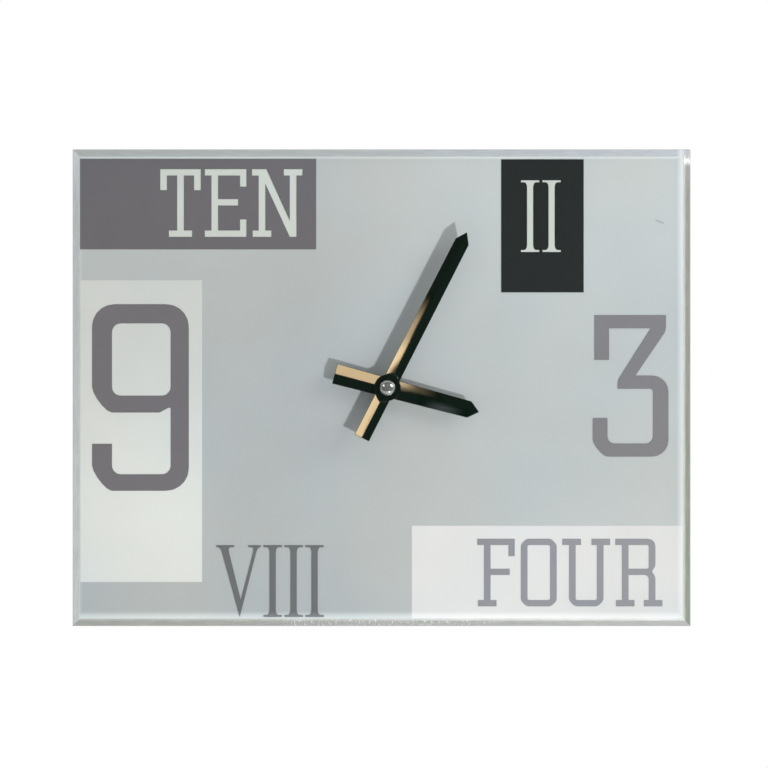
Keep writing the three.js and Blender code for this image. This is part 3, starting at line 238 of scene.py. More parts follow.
def lacquer(name):
    """Gloss black lacquer with a faint orange peel and a few dust specks."""
    t = Tree(name)
    peel = t.bump(t.noise(900, 2), 0.015, 0.01 * MM)
    dust = t.span(t.noise(1500, 1), 0.78, 0.84)
    tone = t.mix(dust, (0.0032, 0.009, 0.0055, 1), (0.03, 0.032, 0.03, 1))
    rough = t.span(t.noise(420, 3), 0.35, 0.7, 0.03, 0.045)
    return t.finish(t.surface(
        Base_Color=tone, Roughness=rough, Normal=peel, Coat_Weight=1.0, Coat_Roughness=0.03,
        Specular_IOR_Level=0.6,
    ))


def polished_metal(name, base, rough, metal=1.0):
    """Bright metal with fine scratches along the clock's depth."""
    t = Tree(name)
    lines = t.noise(1.0, 2, 0.6, t.stretched((9000, 400, 9000)))
    normal = t.bump(lines, 0.03, 0.02 * MM, t.edges(0.05 * MM))
    tone = t.mix(t.span(t.noise(260, 3), 0.3, 0.7), base, toned(base, 0.86))
    finish = t.span(t.noise(700, 3), 0.3, 0.7, rough * 0.8, rough * 1.35)
    return t.finish(t.surface(Base_Color=tone, Metallic=metal, Roughness=finish, Normal=normal))


def turned_metal(name, base, rough):
    """Metal from a lathe, with fine rings about the hands' axis."""
    t = Tree(name)
    across, up = t.minus(t.axis("X"), hub.x), t.minus(t.axis("Z"), hub.z)
    reach = t.math("SQRT", t.plus(t.times(across, across), t.times(up, up)))
    normal = t.bump(t.waves(reach, 0.11 * MM), 0.12, 0.01 * MM, t.edges(0.06 * MM))
    tarnish = t.span(t.noise(300, 4, 0.6), 0.4, 0.75)
    tone = t.mix(tarnish, base, toned(base, 0.7))
    return t.finish(t.surface(Base_Color=tone, Metallic=1.0, Roughness=rough, Normal=normal))


def plated_sheet(name, base):
    """Zinc plated sheet: rolled lines along it and cloudy passivation."""
    t = Tree(name)
    rolled = t.noise(1.0, 2, 0.5, t.stretched((4200, 4200, 160)))
    cloud = t.noise(170, 4, 0.6)
    tone = t.mix(t.span(cloud, 0.35, 0.7), base, (base[0] * 0.82, base[1] * 0.84, base[2] * 0.9, 1))
    rough = t.span(cloud, 0.3, 0.75, 0.26, 0.42)
    normal = t.bump(rolled, 0.14, 0.03 * MM, t.edges(0.12 * MM))
    return t.finish(t.surface(Base_Color=tone, Metallic=1.0, Roughness=rough, Normal=normal))


def moulded(name, base, grain, rough, edge=0.15 * MM, glow=0.0):
    """Moulded plastic with a spark-eroded grain, soft edges and paler rubbed spots."""
    t = Tree(name)
    texture = t.noise(3600, 2, 0.6)
    worn = t.span(t.noise(120, 4, 0.65), 0.58, 0.8)
    tone = t.mix(worn, base, toned(base, 1.25, 0.006))
    finish = t.span(t.noise(240, 3), 0.3, 0.75, rough * 0.88, rough * 1.15)
    normal = t.bump(texture, grain, 0.03 * MM, t.edges(edge))
    return t.finish(t.surface(
        Base_Color=tone, Roughness=finish, Normal=normal, Subsurface_Weight=glow,
        Subsurface_Radius=(0.9 * MM, 0.8 * MM, 0.7 * MM), Subsurface_Scale=1.0,
    ))


def soft_foam(name, base):
    """Rubber or foam with small cells."""
    t = Tree(name)
    cells = t.add("ShaderNodeTexVoronoi", {"Vector": t.place, "Scale": 2600})
    tone = t.mix(t.span(t.noise(500, 3), 0.3, 0.7), base, toned(base, 1.5))
    normal = t.bump(cells.outputs["Distance"], 0.6, 0.06 * MM)
    return t.finish(t.surface(Base_Color=tone, Roughness=0.85, Normal=normal))


def wound_wire(name, base):
    """Fine enamelled wire, laid in turns along the coil's X axis, with painted shade in the grooves between
    turns.
    """
    t = Tree(name)
    turns = t.waves(t.axis("X"), 0.14 * MM)
    # Painted shade: the wire is darker in the grooves between turns
    tone = t.mix(t.span(turns, -1, 1), toned(base, 0.45), base)
    normal = t.bump(turns, 0.7, 0.03 * MM)
    return t.finish(t.surface(
        Base_Color=tone, Metallic=1.0, Roughness=0.3, Normal=normal, Coat_Weight=0.6,
    ))


def laminate(name, base):
    """A circuit board: green mask over copper tracks, with a woven ground."""
    t = Tree(name)
    tracks = t.add("ShaderNodeTexBrick", {"Vector": t.place, "Scale": 210, "Mortar Size": 0.09})
    weave = t.times(t.waves(t.axis("X"), 0.5 * MM), t.waves(t.axis("Z"), 0.5 * MM))
    light = toned(base, 1.9)
    tone = t.mix(tracks.outputs["Fac"], base, light)
    tone = t.mix(t.span(weave, -1, 1, 0.0, 0.18), tone, light)
    normal = t.bump(tracks.outputs["Fac"], 0.3, 0.04 * MM, t.edges(0.05 * MM))
    return t.finish(t.surface(Base_Color=tone, Roughness=0.34, Normal=normal))


def sintered(name, base):
    """The rotor magnet's grainy pressed powder."""
    t = Tree(name)
    grain = t.noise(4200, 3, 0.7)
    tone = t.mix(t.span(grain, 0.4, 0.7), base, toned(base, 1.8))
    normal = t.bump(grain, 0.5, 0.03 * MM, t.edges(0.06 * MM))
    return t.finish(t.surface(Base_Color=tone, Metallic=0.7, Roughness=0.48, Normal=normal))


# Finishes of the glass

CHIP_EASE = 30 * MM
# The white of the nicks' painted glints, and of a painted highlight
NICK_GLINT_WHITE = (0.78, 0.8, 0.81, 1)
PAINTED_GLARE_WHITE = (0.78, 0.79, 0.8, 1)


def clear_face(name):
    """The flat of the glass: nearly all of the light passes, and a little is reflected."""
    t = Tree(name)
    clear = t.add("ShaderNodeBsdfTransparent")
    smears = t.span(t.noise(22, 4, 0.6), 0.45, 0.8, 0.012, 0.05)
    gloss = t.add("ShaderNodeBsdfGlossy", {"Roughness": smears})
    fresnel = t.add("ShaderNodeFresnel", {"IOR": 1.5})
    outside = t.minus(1.0, t.add("ShaderNodeNewGeometry").outputs["Backfacing"])
    shown = t.times(fresnel.outputs[0], outside)
    return t.finish(t.blend_of(shown, clear.outputs[0], gloss.outputs[0]))


def bevel_glass(name, near, far, axis, streak, chips=None, glare=None, lip=None):
    """A polished bevel. Its colour is painted: the pale print's edge as the thickness of the glass would
    bend and tint it, lighter or darker on each side by the painted reflection of what that side faces, from
    one colour at the low end of the side to another at its high end. Chips are the two places between which
    the edge has small nicks, painted white as glints, and a glare is a painted highlight: a bright spot's
    place and reach. A lip is painted light along the bevel's inner edge: the axis across it, the edge's
    place, the way out of the panel, the reach, and the strength at each end of the side."""
    t = Tree(name)
    low, high = (panel_low.x, panel_high.x) if axis == "X" else (panel_low.z, panel_high.z)
    side = t.axis(axis)
    tone = t.mix(t.span(side, low, high), colour(*near), colour(*far))
    grain = t.stretched((90, 900, 900) if axis == "X" else (900, 900, 90))
    bands = t.span(t.noise(1.0, 4, 0.6, grain), 0.35, 0.72, 1 - streak, 1 + streak * 0.6)
    # Painted light along the bevel's inner edge
    if lip:
        across, edge, outward, reach, first, last = lip
        depth = t.times(t.minus(t.axis(across), edge), outward)
        line = t.times(t.span(depth, 0.0, reach, 1.0, 0.0), t.span(side, low, high, first, last))
        bands = t.times(bands, t.plus(line, 1.0))
    shown = t.scaled(tone, bands)
    # Painted glints: white nicks along the edge
    if chips:
        start, end = chips
        nicks = t.span(t.noise(1.0, 3, 0.7, t.stretched((1500, 300, 420))), 0.55, 0.66)
        rise = t.span(side, start, start + CHIP_EASE)
        fall = t.span(side, end - CHIP_EASE, end, 1.0, 0.0)
        shown = t.mix(t.times(nicks, t.times(rise, fall)), shown, NICK_GLINT_WHITE)
    # Painted highlight: a bright spot on the bevel
    if glare:
        place, reach = glare
        off = t.math("ABSOLUTE", t.minus(side, place))
        shown = t.mix(t.span(off, 0.0, reach, 0.85, 0.0), shown, PAINTED_GLARE_WHITE)
    body = t.surface(
        Base_Color=shown, Roughness=0.16, Specular_IOR_Level=0.5, Coat_Weight=1.0,
        Coat_Roughness=0.02,
    )
    clear = t.add("ShaderNodeBsdfTransparent")
    rays = t.add("ShaderNodeLightPath").outputs
    lighting = t.math("MAXIMUM", rays["Is Shadow Ray"], rays["Is Diffuse Ray"])
    return t.finish(t.blend_of(t.span(lighting, 0.0, 1.0, 0.92, 0.08), clear.outputs[0], body))


def cut_edge(name):
    """The ground outer edge of the glass: greener, because the light runs the long way through."""
    t = Tree(name)
    grind = t.noise(1.0, 3, 0.6, t.stretched((1400, 5200, 1400)))
    tone = t.mix(t.span(grind, 0.3, 0.7), colour(150, 163, 155), colour(186, 198, 191))
    normal = t.bump(grind, 0.25, 0.03 * MM)
    return t.finish(t.surface(
        Base_Color=tone, Roughness=0.3, Normal=normal, Coat_Weight=0.5, Coat_Roughness=0.1,
    ))


# The finishes in use

# Painted light and shade: the fades on the ground, nine and four inks, and the inks made lighter or darker
# for single nodes (the two's cream, the nine's block and numeral, the three, the letters), stand in for how
# the lamps and the veiling reflection on the glass fall on one cream ink and one dark ink
ink = {
    "ground": printed_ink(
        "ground_ink", (188, 193, 191),
        (("Z", -0.03, 0.09, 1.0, 1.1), ("X", -0.105, -0.05, 1.0, 0.95), ("X", -0.045, 0.02, 1.0, 1.05)),
        nick=((0.1516, 0.0527), (0.1572, 0.0504), 0.7 * MM),
    ),
    "cream": printed_ink("cream_ink", (211, 217, 209)),
    "two_cream": printed_ink("cream_ink_two_painted_darker", (202, 208, 200)),
    "nine_block": printed_ink("cream_ink_nine_painted_shading", (216, 219, 214), (("Z", 0.01, -0.13, 0.98, 1.14),), 0.3),
    "four_block": printed_ink("cream_ink_four_painted_shading", (220, 221, 219), (("X", 0.02, 0.16, 1.04, 0.94),), 0.5),
    "ten": printed_ink("dark_ink", (114, 112, 115)),
    "nine": printed_ink("dark_ink_nine_painted_lighter", (122, 119, 122)),
    "two": printed_ink("black_ink", (38, 43, 42)),
    "three": printed_ink("ink_three_painted_lighter", (130, 129, 131)),
    "letters": printed_ink("ink_letters_painted_lighter", (146, 148, 152)),
    "roman": printed_ink("grey_ink_roman", (115, 117, 117)),
}
gloss_black = lacquer("black_lacquer")
chrome = polished_metal("bright_steel", (0.6, 0.62, 0.6, 1), 0.15, metal=0.8)
zinc = plated_sheet("zinc_steel", (0.56, 0.58, 0.62, 1))
brass = turned_metal("turned_brass", (0.75, 0.56, 0.24, 1), 0.26)
black_case = moulded("black_plastic", (0.018, 0.018, 0.019, 1), 0.4, 0.48)
white_acetal = moulded("white_plastic", (0.74, 0.74, 0.7, 1), 0.12, 0.38, 0.12 * MM, 0.15)
foam = soft_foam("grey_rubber", (0.09, 0.092, 0.095, 1))
jacket = moulded("cell_jacket", (0.03, 0.075, 0.19, 1), 0.03, 0.24, 0.1 * MM)
band = moulded("cell_band", (0.72, 0.7, 0.64, 1), 0.03, 0.26, 0.1 * MM)
bare_end = polished_metal("cell_end", (0.6, 0.6, 0.6, 1), 0.2)
glass_face = clear_face("glass_face")

finish_of_slot = {
    "black_lacquer": gloss_black, "bright_steel": chrome, "zinc_steel": zinc, "turned_brass": brass,
    "black_plastic": black_case, "white_plastic": white_acetal, "grey_rubber": foam,
    "enamelled_copper": wound_wire("enamelled_copper", (0.72, 0.26, 0.1, 1)),
    "board": laminate("board", (0.02, 0.13, 0.05, 1)),
    "magnet": sintered("magnet", (0.045, 0.045, 0.05, 1)),
    "cell_jacket": jacket, "clear_glass": glass_face, "ground_ink": ink["ground"],
    "cream_ink": ink["cream"], "dark_ink": ink["ten"], "black_ink": ink["two"],
    "grey_ink": ink["letters"],
}
finish_of_node = {
    "backing_two": ink["two_cream"], "block_nine": ink["nine_block"], "block_four": ink["four_block"],
    "numeral_nine": ink["nine"], "numeral_three": ink["three"], "roman_v": ink["roman"],
    "roman_i_1": ink["roman"], "roman_i_2": ink["roman"], "roman_i_3": ink["roman"],
}


# Meshes

EASE_STEPS = 3

# Edges sharper than this many degrees stay sharp
LATHE_SMOOTH = 32
NUT_SMOOTH = 24


def shares(count):
    return [i / count for i in range(count + 1)]


def circle(steps):
    """The cosine and sine of each step of a turn."""
    return [(math.cos(TURN * i / steps), math.sin(TURN * i / steps)) for i in range(steps)]


def bridge(builder, first, second):
    """The faces between two rings."""
    count = len(first)
    return [builder.faces.new((
        first[i], first[(i + 1) % count], second[(i + 1) % count], second[i],
    )) for i in range(count)]


def stitched(builder, rings):
    """Faces from each ring to the next. A single vertex in place of a ring closes an end."""
    for first, second in zip(rings, rings[1:]):
        if isinstance(first, list) and isinstance(second, list):
            bridge(builder, first, second)
            continue
        opening = isinstance(second, list)
        ring = second if opening else first
        for here, ahead in zip(ring, ring[1:] + ring[:1]):
            builder.faces.new((first, ahead, here) if opening else (here, ahead, second))


def eased(corners, radius):
    """The profile with its marked corners rounded. A corner is (radius, y, share of the easing)."""
    made = []
    count = len(corners)
    for i, (r, y, share) in enumerate(corners):
        if not share:
            made.append((r, y))
            continue
        here = Vector((r, y))
        before = Vector(corners[i - 1][:2]) - here
        after = Vector(corners[(i + 1) % count][:2]) - here
        start = here + before.normalized() * min(radius * share, before.length / 2)
        end = here + after.normalized() * min(radius * share, after.length / 2)
        for s in shares(EASE_STEPS):
            point = (1 - s) ** 2 * start + 2 * s * (1 - s) * here + s * s * end
            made.append((point.x, point.y))
    return made


def object_of(name, builder, smooth=None):
    """The built mesh as an object, shaded smooth but for its edges sharper than smooth degrees."""
    mesh = bpy.data.meshes.new(name)
    bmesh.ops.recalc_face_normals(builder, faces=builder.faces)
    for face in builder.faces:
        face.smooth = True
    if smooth:
        for edge in builder.edges:
            if len(edge.link_faces) == 2 and edge.calc_face_angle(0) > math.radians(smooth):
                edge.smooth = False
    builder.to_mesh(mesh)
    builder.free()
    piece = bpy.data.objects.new(name, mesh)
    bpy.context.scene.collection.objects.link(piece)
    return piece


def lathed(name, centre, profile, steps=72, along="Y"):
    """A solid of revolution. The profile lists (radius, place along the axis); radius 0 closes an end,
    and a profile that ends where it starts makes a ring."""
    builder = bmesh.new()

    def vertex(a, b, place):
        if along == "Y":
            return builder.verts.new((centre.x + a, place, centre.z + b))
        return builder.verts.new((place, centre.y + a, centre.z + b))

    is_ring = profile[0] == profile[-1]
    rings = []
    for reach, place in profile[:-1] if is_ring else profile:
        if reach == 0:
            rings.append(vertex(0, 0, place))
        else:
            rings.append([vertex(reach * c, reach * s, place) for c, s in circle(steps)])
    if is_ring:
        rings.append(rings[0])
    stitched(builder, rings)
    return object_of(name, builder, LATHE_SMOOTH)


# Pieces on the frame's nodes

# In degrees: edges this sharp are rounded, and faces that differ by less become one
SHARP_FROM = 30
FLAT_WITHIN = 0.6
WELD = 0.002 * MM

record = frame["record"]
slot_of = {part["node"]: part["material_slot"] for part in record["subparts"]}
body_of = {node: body for body, nodes in record["behaviour"]["bodies"].items() for node in nodes}


def finish_of(node):
    return finish_of_node.get(node, finish_of_slot[slot_of[node]])


def goes_with(piece, node, *materials):
    """The piece moves with the node, and takes its slot."""
    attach(piece, body_of[node])
    for material in materials:
        piece.data.materials.append(material)


def stands_for(piece, node, *materials):
    """The piece takes the node's place, body and slot."""
    goes_with(piece, node, *materials)
    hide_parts(node)


def settled(piece, width, segments=2, weighted=False):
    """Rounds a piece's sharp edges and weighs its normals by the faces' sizes."""
    rounding = piece.modifiers.new("rounding", "BEVEL")
    rounding.width = width
    rounding.segments = segments
    rounding.limit_method = "WEIGHT" if weighted else "ANGLE"
    rounding.angle_limit = math.radians(SHARP_FROM)
    rounding.use_clamp_overlap = not weighted
    weighing = piece.modifiers.new("weighing", "WEIGHTED_NORMAL")
    weighing.keep_sharp = True
    graph = bpy.context.evaluated_depsgraph_get()
    mesh = bpy.data.meshes.new_from_object(piece.evaluated_get(graph), depsgraph=graph)
    piece.modifiers.clear()
    piece.data = mesh
    for polygon in mesh.polygons:
        polygon.use_smooth = True
    return piece


def refined(node, width):
    """The node's own form, with its flat faces made whole and its edges rounded."""
    source = frame["nodes"][node]
    builder = bmesh.new()
    builder.from_mesh(source.data)
    builder.transform(source.matrix_world)
    bmesh.ops.remove_doubles(builder, verts=builder.verts, dist=WELD)
    bmesh.ops.dissolve_limit(
        builder, angle_limit=math.radians(FLAT_WITHIN), verts=builder.verts, edges=builder.edges,
    )
    stands_for(settled(object_of(node + "_refined", builder), width), node, finish_of(node))


# Glass

GLASS_FINISHES = ("face", "low", "right", "top", "left", "edge")
HOLE = 4.6 * MM
HOLE_STEPS = 96
ARRIS = 0.25 * MM
INK_GAP = 0.04 * MM


def pierced(builder, corners, rim):
    """Fills a rectangle round a hole. Each side's face runs from two corners to its part of the rim."""
    steps = len(rim)
    turns = [math.atan2(c.co.z - hub.z, c.co.x - hub.x) % TURN for c in corners]
    marks = [round(turn / TURN * steps) for turn in turns]
    for i in range(4):
        start, end = marks[i], marks[(i + 1) % 4]
        end = end + steps if end < start else end
        arc = [rim[k % steps] for k in range(start, end + 1)]
        builder.faces.new([corners[(i + 1) % 4], corners[i], *arc])


def glass_sheet():
    """The panel with its bevels and ground edge. Its back stands a hair in front of the ink."""
    back, front = print_front - INK_GAP, panel_low.y
    lip = front + BEVEL_DROP
    builder = bmesh.new()

    def loop(inset, depth):
        x0, x1 = panel_low.x + inset, panel_high.x - inset
        z0, z1 = panel_low.z + inset, panel_high.z - inset
        return [builder.verts.new((x, depth, z)) for x, z in ((x0, z0), (x1, z0), (x1, z1), (x0, z1))]

    cut = [loop(ARRIS, back), loop(0, back - ARRIS), loop(0, lip + ARRIS), loop(ARRIS, lip - ARRIS * 0.2)]
    polished = [loop(BEVEL - ARRIS, front + ARRIS * 0.1), loop(BEVEL + ARRIS, front)]
    loops = cut + polished
    for k, (first, second) in enumerate(zip(loops, loops[1:])):
        for face, side in zip(bridge(builder, first, second), GLASS_FINISHES[1:5]):
            face.material_index = GLASS_FINISHES.index("edge" if k < len(cut) - 1 else side)
    rims = [[
        builder.verts.new((hub.x + HOLE * c, depth, hub.z + HOLE * s)) for c, s in circle(HOLE_STEPS)
    ] for depth in (back, front)]
    pierced(builder, loops[0], rims[0])
    pierced(builder, loops[-1], rims[1])
    for face in bridge(builder, *rims):
        face.material_index = GLASS_FINISHES.index("edge")
    piece = object_of("glass_sheet", builder)
    for polygon in piece.data.polygons:
        polygon.use_smooth = False
    # The bevels' colours, lips, glares and chip glints below are painted light and reflection
    stands_for(
        piece, "glass_panel", glass_face,
        bevel_glass(
            "bevel_low", (158, 161, 155), (171, 172, 170), "X", 0.12, chips=(-0.075, 0.07),
            lip=("Z", panel_low.z + BEVEL, -1, 1.45 * MM, 0.45, 1.0),
        ),
        bevel_glass(
            "bevel_right", (138, 142, 130), (144, 146, 140), "Z", 0.12,
            glare=(panel_high.z - 6.6 * MM, 2.4 * MM),
            lip=("X", panel_high.x - BEVEL, 1, 1.5 * MM, 1.15, 1.05),
        ),
        bevel_glass(
            "bevel_top", (183, 189, 187), (190, 196, 202), "X", 0.08,
            glare=(panel_high.x - 5.4 * MM, 3 * MM),
        ),
        bevel_glass("bevel_left", (216, 222, 221), (203, 208, 210), "Z", 0.1),
        cut_edge("ground_edge"),
    )


# Hands

SHEET = 0.5 * MM
EDGE_ROUND = 0.24 * MM
CREASE_SHARE = 0.25
CREASE_FROM = 16
FAR = 1.0
FOLD_STEPS = 12
EDGE_STEPS = 4
SIDE_STEPS = 40


class Hand:
    """A hand's own axes: u across it, v along it towards the tip, and h out from its seat. Its direction
    is in degrees, clockwise from up, and its sizes in mm. Lean is how far the seat's wall leans out for
    each unit that it rises."""

    def __init__(self, node, direction, lean, sizes):
        self.node = node
        self.lean = lean
        self.sizes = {key: value * MM for key, value in sizes.items()}
        self.turn = math.radians(direction)
        self.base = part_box(node)[1].y

    def at(self, u, v, h):
        s, c = math.sin(self.turn), math.cos(self.turn)
        return (hub.x + u * c + v * s, self.base - h, hub.z - u * s + v * c)


def crossing(below, low, high):
    """The angle between low and high at which below stops being true."""
    for _ in range(50):
        half_way = (low + high) / 2
        if below(half_way):
            low = half_way
        else:
            high = half_way
    return low


class Sector:
    """One end of a hand's seat: the leaning wall between the flat seat and the folded sheet."""

    def __init__(self, hand, sign):
        sizes, seat = hand.sizes, hand.sizes["seat"]
        half = sizes["tail_width"] / 2
        rise = hand.lean * sizes["ridge"]
        taper = (sizes["shoulder_width"] / 2 - half) / (sizes["shoulder"] + sizes["tail"])

        def fold(angle):
            """The reach at which the wall meets the sloping sheet."""
            return (seat + rise) / (1 + rise * math.sin(abs(angle)) / half)

        def edge(angle):
            """The reach at which the hand's side edge lies."""
            spread = math.sin(abs(angle)) - taper * sign * math.cos(angle)
            return (half + taper * sizes["tail"]) / spread if spread > 1e-6 else FAR

        self.sign = sign
        self.reach = lambda angle: max(min(fold(angle), edge(angle)), seat)
        self.end = crossing(lambda angle: edge(angle) > seat, 0.0, TURN / 4)
        self.corner = crossing(lambda angle: edge(angle) > fold(angle), 0.0, self.end)
        right = [self.corner * k for k in shares(FOLD_STEPS)] + [
            self.corner + (self.end - self.corner) * k for k in shares(EDGE_STEPS)[1:]
        ]
        self.angles = [-angle for angle in right[:0:-1]] + right


def folded_hand(name, hand, hole):
    """Pressed sheet: a ridge along the middle, a tapered outline, and a flat round seat let into it."""
    s = hand.sizes
    tip, half, ridge, flat = s["shoulder"] + s["point"], s["tail_width"] / 2, s["ridge"], s["seat"]
    builder = bmesh.new()
    lower = {}

    def vertex(u, v, h):
        made = builder.verts.new(hand.at(u, v, h))
        lower[made] = builder.verts.new(hand.at(u, v, h - SHEET))
        return made

    def on_roof(u, v):
        return vertex(u, v, SHEET + ridge * (1 - abs(u) / half))

    def on_circle(angle, reach):
        return vertex(reach * math.sin(angle), reach * math.cos(angle), SHEET)

    def face(corners):
        builder.faces.new(corners)
        builder.faces.new([lower[corner] for corner in reversed(corners)])

    ahead, behind = Sector(hand, 1), Sector(hand, -1)
    right = [ahead.end + (TURN / 2 - behind.end - ahead.end) * k for k in shares(SIDE_STEPS)[1:-1]]
    turns = (
        ahead.angles + right + [TURN / 2 - angle for angle in reversed(behind.angles)]
        + [TURN - angle for angle in reversed(right)]
    )
    seat = [on_circle(angle, flat) for angle in turns]
    bore = [on_circle(angle, hole) for angle in turns]
    count = len(turns)
    for i in range(count):
        face([bore[i], bore[(i + 1) % count], seat[(i + 1) % count], seat[i]])

    first_behind = len(ahead.angles) + len(right)
    arcs = {
        1: seat[:len(ahead.angles)],
        -1: seat[first_behind:first_behind + len(behind.angles)][::-1],
    }
    ends = {
        1: [on_roof(-s["shoulder_width"] / 2, s["shoulder"]), on_roof(0, tip),
            on_roof(s["shoulder_width"] / 2, s["shoulder"])],
        -1: [on_roof(-half, -s["tail"]), on_roof(0, -s["tail"]), on_roof(half, -s["tail"])],
    }
    walls = {}
    for sector in (ahead, behind):
        arc = arcs[sector.sign]
        wall = [arc[0]]
        for angle in sector.angles[1:-1]:
            reach = sector.reach(angle)
            wall.append(vertex(
                reach * math.sin(angle), sector.sign * reach * math.cos(angle),
                SHEET + (reach - flat) / hand.lean,
            ))
        wall.append(arc[-1])
        for j in range(len(wall) - 1):
            corners = [arc[j], arc[j + 1], wall[j + 1], wall[j]]
            face(list(dict.fromkeys(corners)))
        crest = len(wall) // 2
        left_side, peak, right_side = ends[sector.sign]
        face([*wall[EDGE_STEPS:crest + 1], peak, left_side])
        face([*wall[crest:-EDGE_STEPS], right_side, peak])
        walls[sector.sign] = wall
    first_edge, last_edge = slice(None, EDGE_STEPS + 1), slice(-EDGE_STEPS - 1, None)
    rim = (
        [ends[1][1], ends[1][2], *walls[1][last_edge], *seat[len(ahead.angles):first_behind]]
        + [*walls[-1][last_edge][::-1], *ends[-1][::-1], *walls[-1][first_edge][::-1]]
        + [*seat[first_behind + len(behind.angles):], *walls[1][first_edge], ends[1][0]]
    )
    for loop in (rim, bore):
        for first, second in zip(loop, loop[1:] + loop[:1]):
            builder.faces.new((first, second, lower[second], lower[first]))
    weights = builder.edges.layers.float.new("bevel_weight_edge")
    bmesh.ops.recalc_face_normals(builder, faces=builder.faces)
    outline = {frozenset(pair) for pair in zip(rim, rim[1:] + rim[:1])}
    for edge in builder.edges:
        if edge.calc_face_angle(0) > math.radians(CREASE_FROM):
            edge[weights] = 1.0 if frozenset(edge.verts) in outline else CREASE_SHARE
    piece = settled(object_of(name, builder), EDGE_ROUND, 3, weighted=True)
    stands_for(piece, hand.node, gloss_black)


# Turned pieces

def closed(profile):
    return [*profile, profile[0]]


def cap_nut():
    """An acorn nut: its blind bore, its foot with a small chamfer, and its crown."""
    low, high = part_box("cap_nut")
    back, front = high.y, low.y
    radius, bore, depth, foot, shoulder = 4.35 * MM, 1.42 * MM, 2.6 * MM, 1.25 * MM, 0.12 * MM
    crown_back = back - foot - shoulder
    angles = [TURN / 4 * share for share in shares(14)[:-1]]
    crown = [
        ((radius - shoulder) * math.cos(a), crown_back - (crown_back - front) * math.sin(a)) for a in angles
    ]
    profile = [
        (0, back - depth), (bore, back - depth + 0.4 * MM), (bore, back - 0.25 * MM),
        (bore + 0.25 * MM, back), (radius - 0.4 * MM, back), (radius - 0.1 * MM, back - 0.1 * MM),
        (radius, back - 0.35 * MM), (radius, back - foot), (radius - 0.03 * MM, back - foot - 0.08 * MM),
        *crown, (0, front),
    ]
    stands_for(lathed("cap_nut_dome", hub, profile, 96), "cap_nut", chrome)


def hand_bush(node, bore, neck):
    """The collar that a hand is pressed on, with a flange behind the hand."""
    low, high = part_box(node)
    flange, flange_front = neck + 0.9 * MM, high.y - 0.6 * MM
    profile = eased([
        (bore, low.y, 1), (neck, low.y, 1), (neck, flange_front, 0), (flange, flange_front, 1),
        (flange, high.y, 1), (bore, high.y, 1),
    ], 0.12 * MM)
    stands_for(lathed(node + "_turned", hub, closed(profile)), node, brass)


def washer(node, bore, outer, easing, material):
    low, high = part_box(node)
    profile = eased([(bore, low.y, 1), (outer, low.y, 1), (outer, high.y, 1), (bore, high.y, 1)], easing)
    stands_for(lathed(node + "_round", hub, closed(profile)), node, material)


def thread_profile(core, crest, low, high, pitch):
    """A zigzag for a screw thread, from the low y to the high y."""
    count = round((high - low) / pitch)
    step = (high - low) / count
    made = []
    for i in range(count):
        y = low + i * step
        made += [(core, y), (crest, y + step * 0.4), (crest, y + step * 0.6)]
    return [*made, (core, high)]


def threaded_stud():
    """The movement's hollow stud: its thread at the front, a plain neck, and a flange at the back."""
    low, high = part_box("threaded_stud")
    front, back = low.y, high.y
    bore, crest, flange, easing = 2.75 * MM, 3.95 * MM, 5.4 * MM, 0.1 * MM
    flange_front = back - 0.8 * MM
    thread = thread_profile(crest - 0.28 * MM, crest, front + 0.3 * MM, back - 2.2 * MM, 0.5 * MM)
    stands_for(lathed("threaded_stud_cut", hub, [
        (bore, back), (bore, front + 0.15 * MM), (bore + 0.15 * MM, front), (crest - 0.45 * MM, front),
        *thread, (crest, back - 1.9 * MM), (crest, flange_front), (flange - easing, flange_front),
        (flange, flange_front + easing), (flange, back - easing), (flange - easing, back), (bore, back),
    ]), "threaded_stud", brass)


def hex_nut():
    """A nut with turned chamfers at its corners, and a countersunk bore."""
    low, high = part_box("hex_nut")
    front, back = low.y, high.y
    bore, flat, chamfer, past_corner = 4.15 * MM, 5.5 * MM, 6.1 * MM, 7 * MM
    face, chamfer_end, steps = flat - 0.1 * MM, 0.55 * MM, 72
    builder = bmesh.new()

    def ring(cap, y):
        """The hexagon's outline, cut off where it is further out than the cap."""
        made = []
        for i in range(steps):
            angle = TURN * i / steps
            side = (angle + TURN / 12) % (TURN / 6) - TURN / 12
            r = min(flat / math.cos(side), cap)
            made.append(builder.verts.new((hub.x + r * math.sin(angle), y, hub.z + r * math.cos(angle))))
        return made

    rings = [
        ring(bore, back), ring(face, back), ring(chamfer, back - 0.3 * MM),
        ring(past_corner, back - chamfer_end), ring(past_corner, front + chamfer_end),
        ring(chamfer, front + 0.25 * MM), ring(face, front), ring(bore + 0.3 * MM, front),
        ring(bore, front + 0.3 * MM),
    ]
    stitched(builder, closed(rings))
    stands_for(object_of("hex_nut_chamfered", builder, NUT_SMOOTH), "hex_nut", brass)


def spacer(node):
    """A moulded post: a wide foot on the glass, a waisted post, and a rim that carries the pad."""
    low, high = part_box(node)
    hollow = high.y - 0.5 * MM
    foot, foot_back = 11 * MM, low.y + 1.6 * MM
    profile = eased([
        (0, hollow, 0), (5.2 * MM, hollow, 0), (5.6 * MM, high.y, 1), (7.4 * MM, high.y, 1),
        (8 * MM, high.y - 0.6 * MM, 1), (7.75 * MM, foot_back + 2 * MM, 0), (8.6 * MM, foot_back, 1),
        (foot, foot_back, 1), (foot, low.y, 1), (0, low.y, 0),
    ], 0.35 * MM)
    stands_for(lathed(node + "_moulded", middle(node), profile), node, white_acetal)


def pad(node):
    """A soft disc, a little fuller at half its thickness."""
    low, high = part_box(node)
    profile = eased([
        (0, low.y, 0), (6.8 * MM, low.y, 1), (7 * MM, (low.y + high.y) / 2, 1), (6.7 * MM, high.y, 1),
        (0, high.y, 0),
    ], 0.2 * MM)
    stands_for(lathed(node + "_foam", middle(node), profile, 48), node, foam)


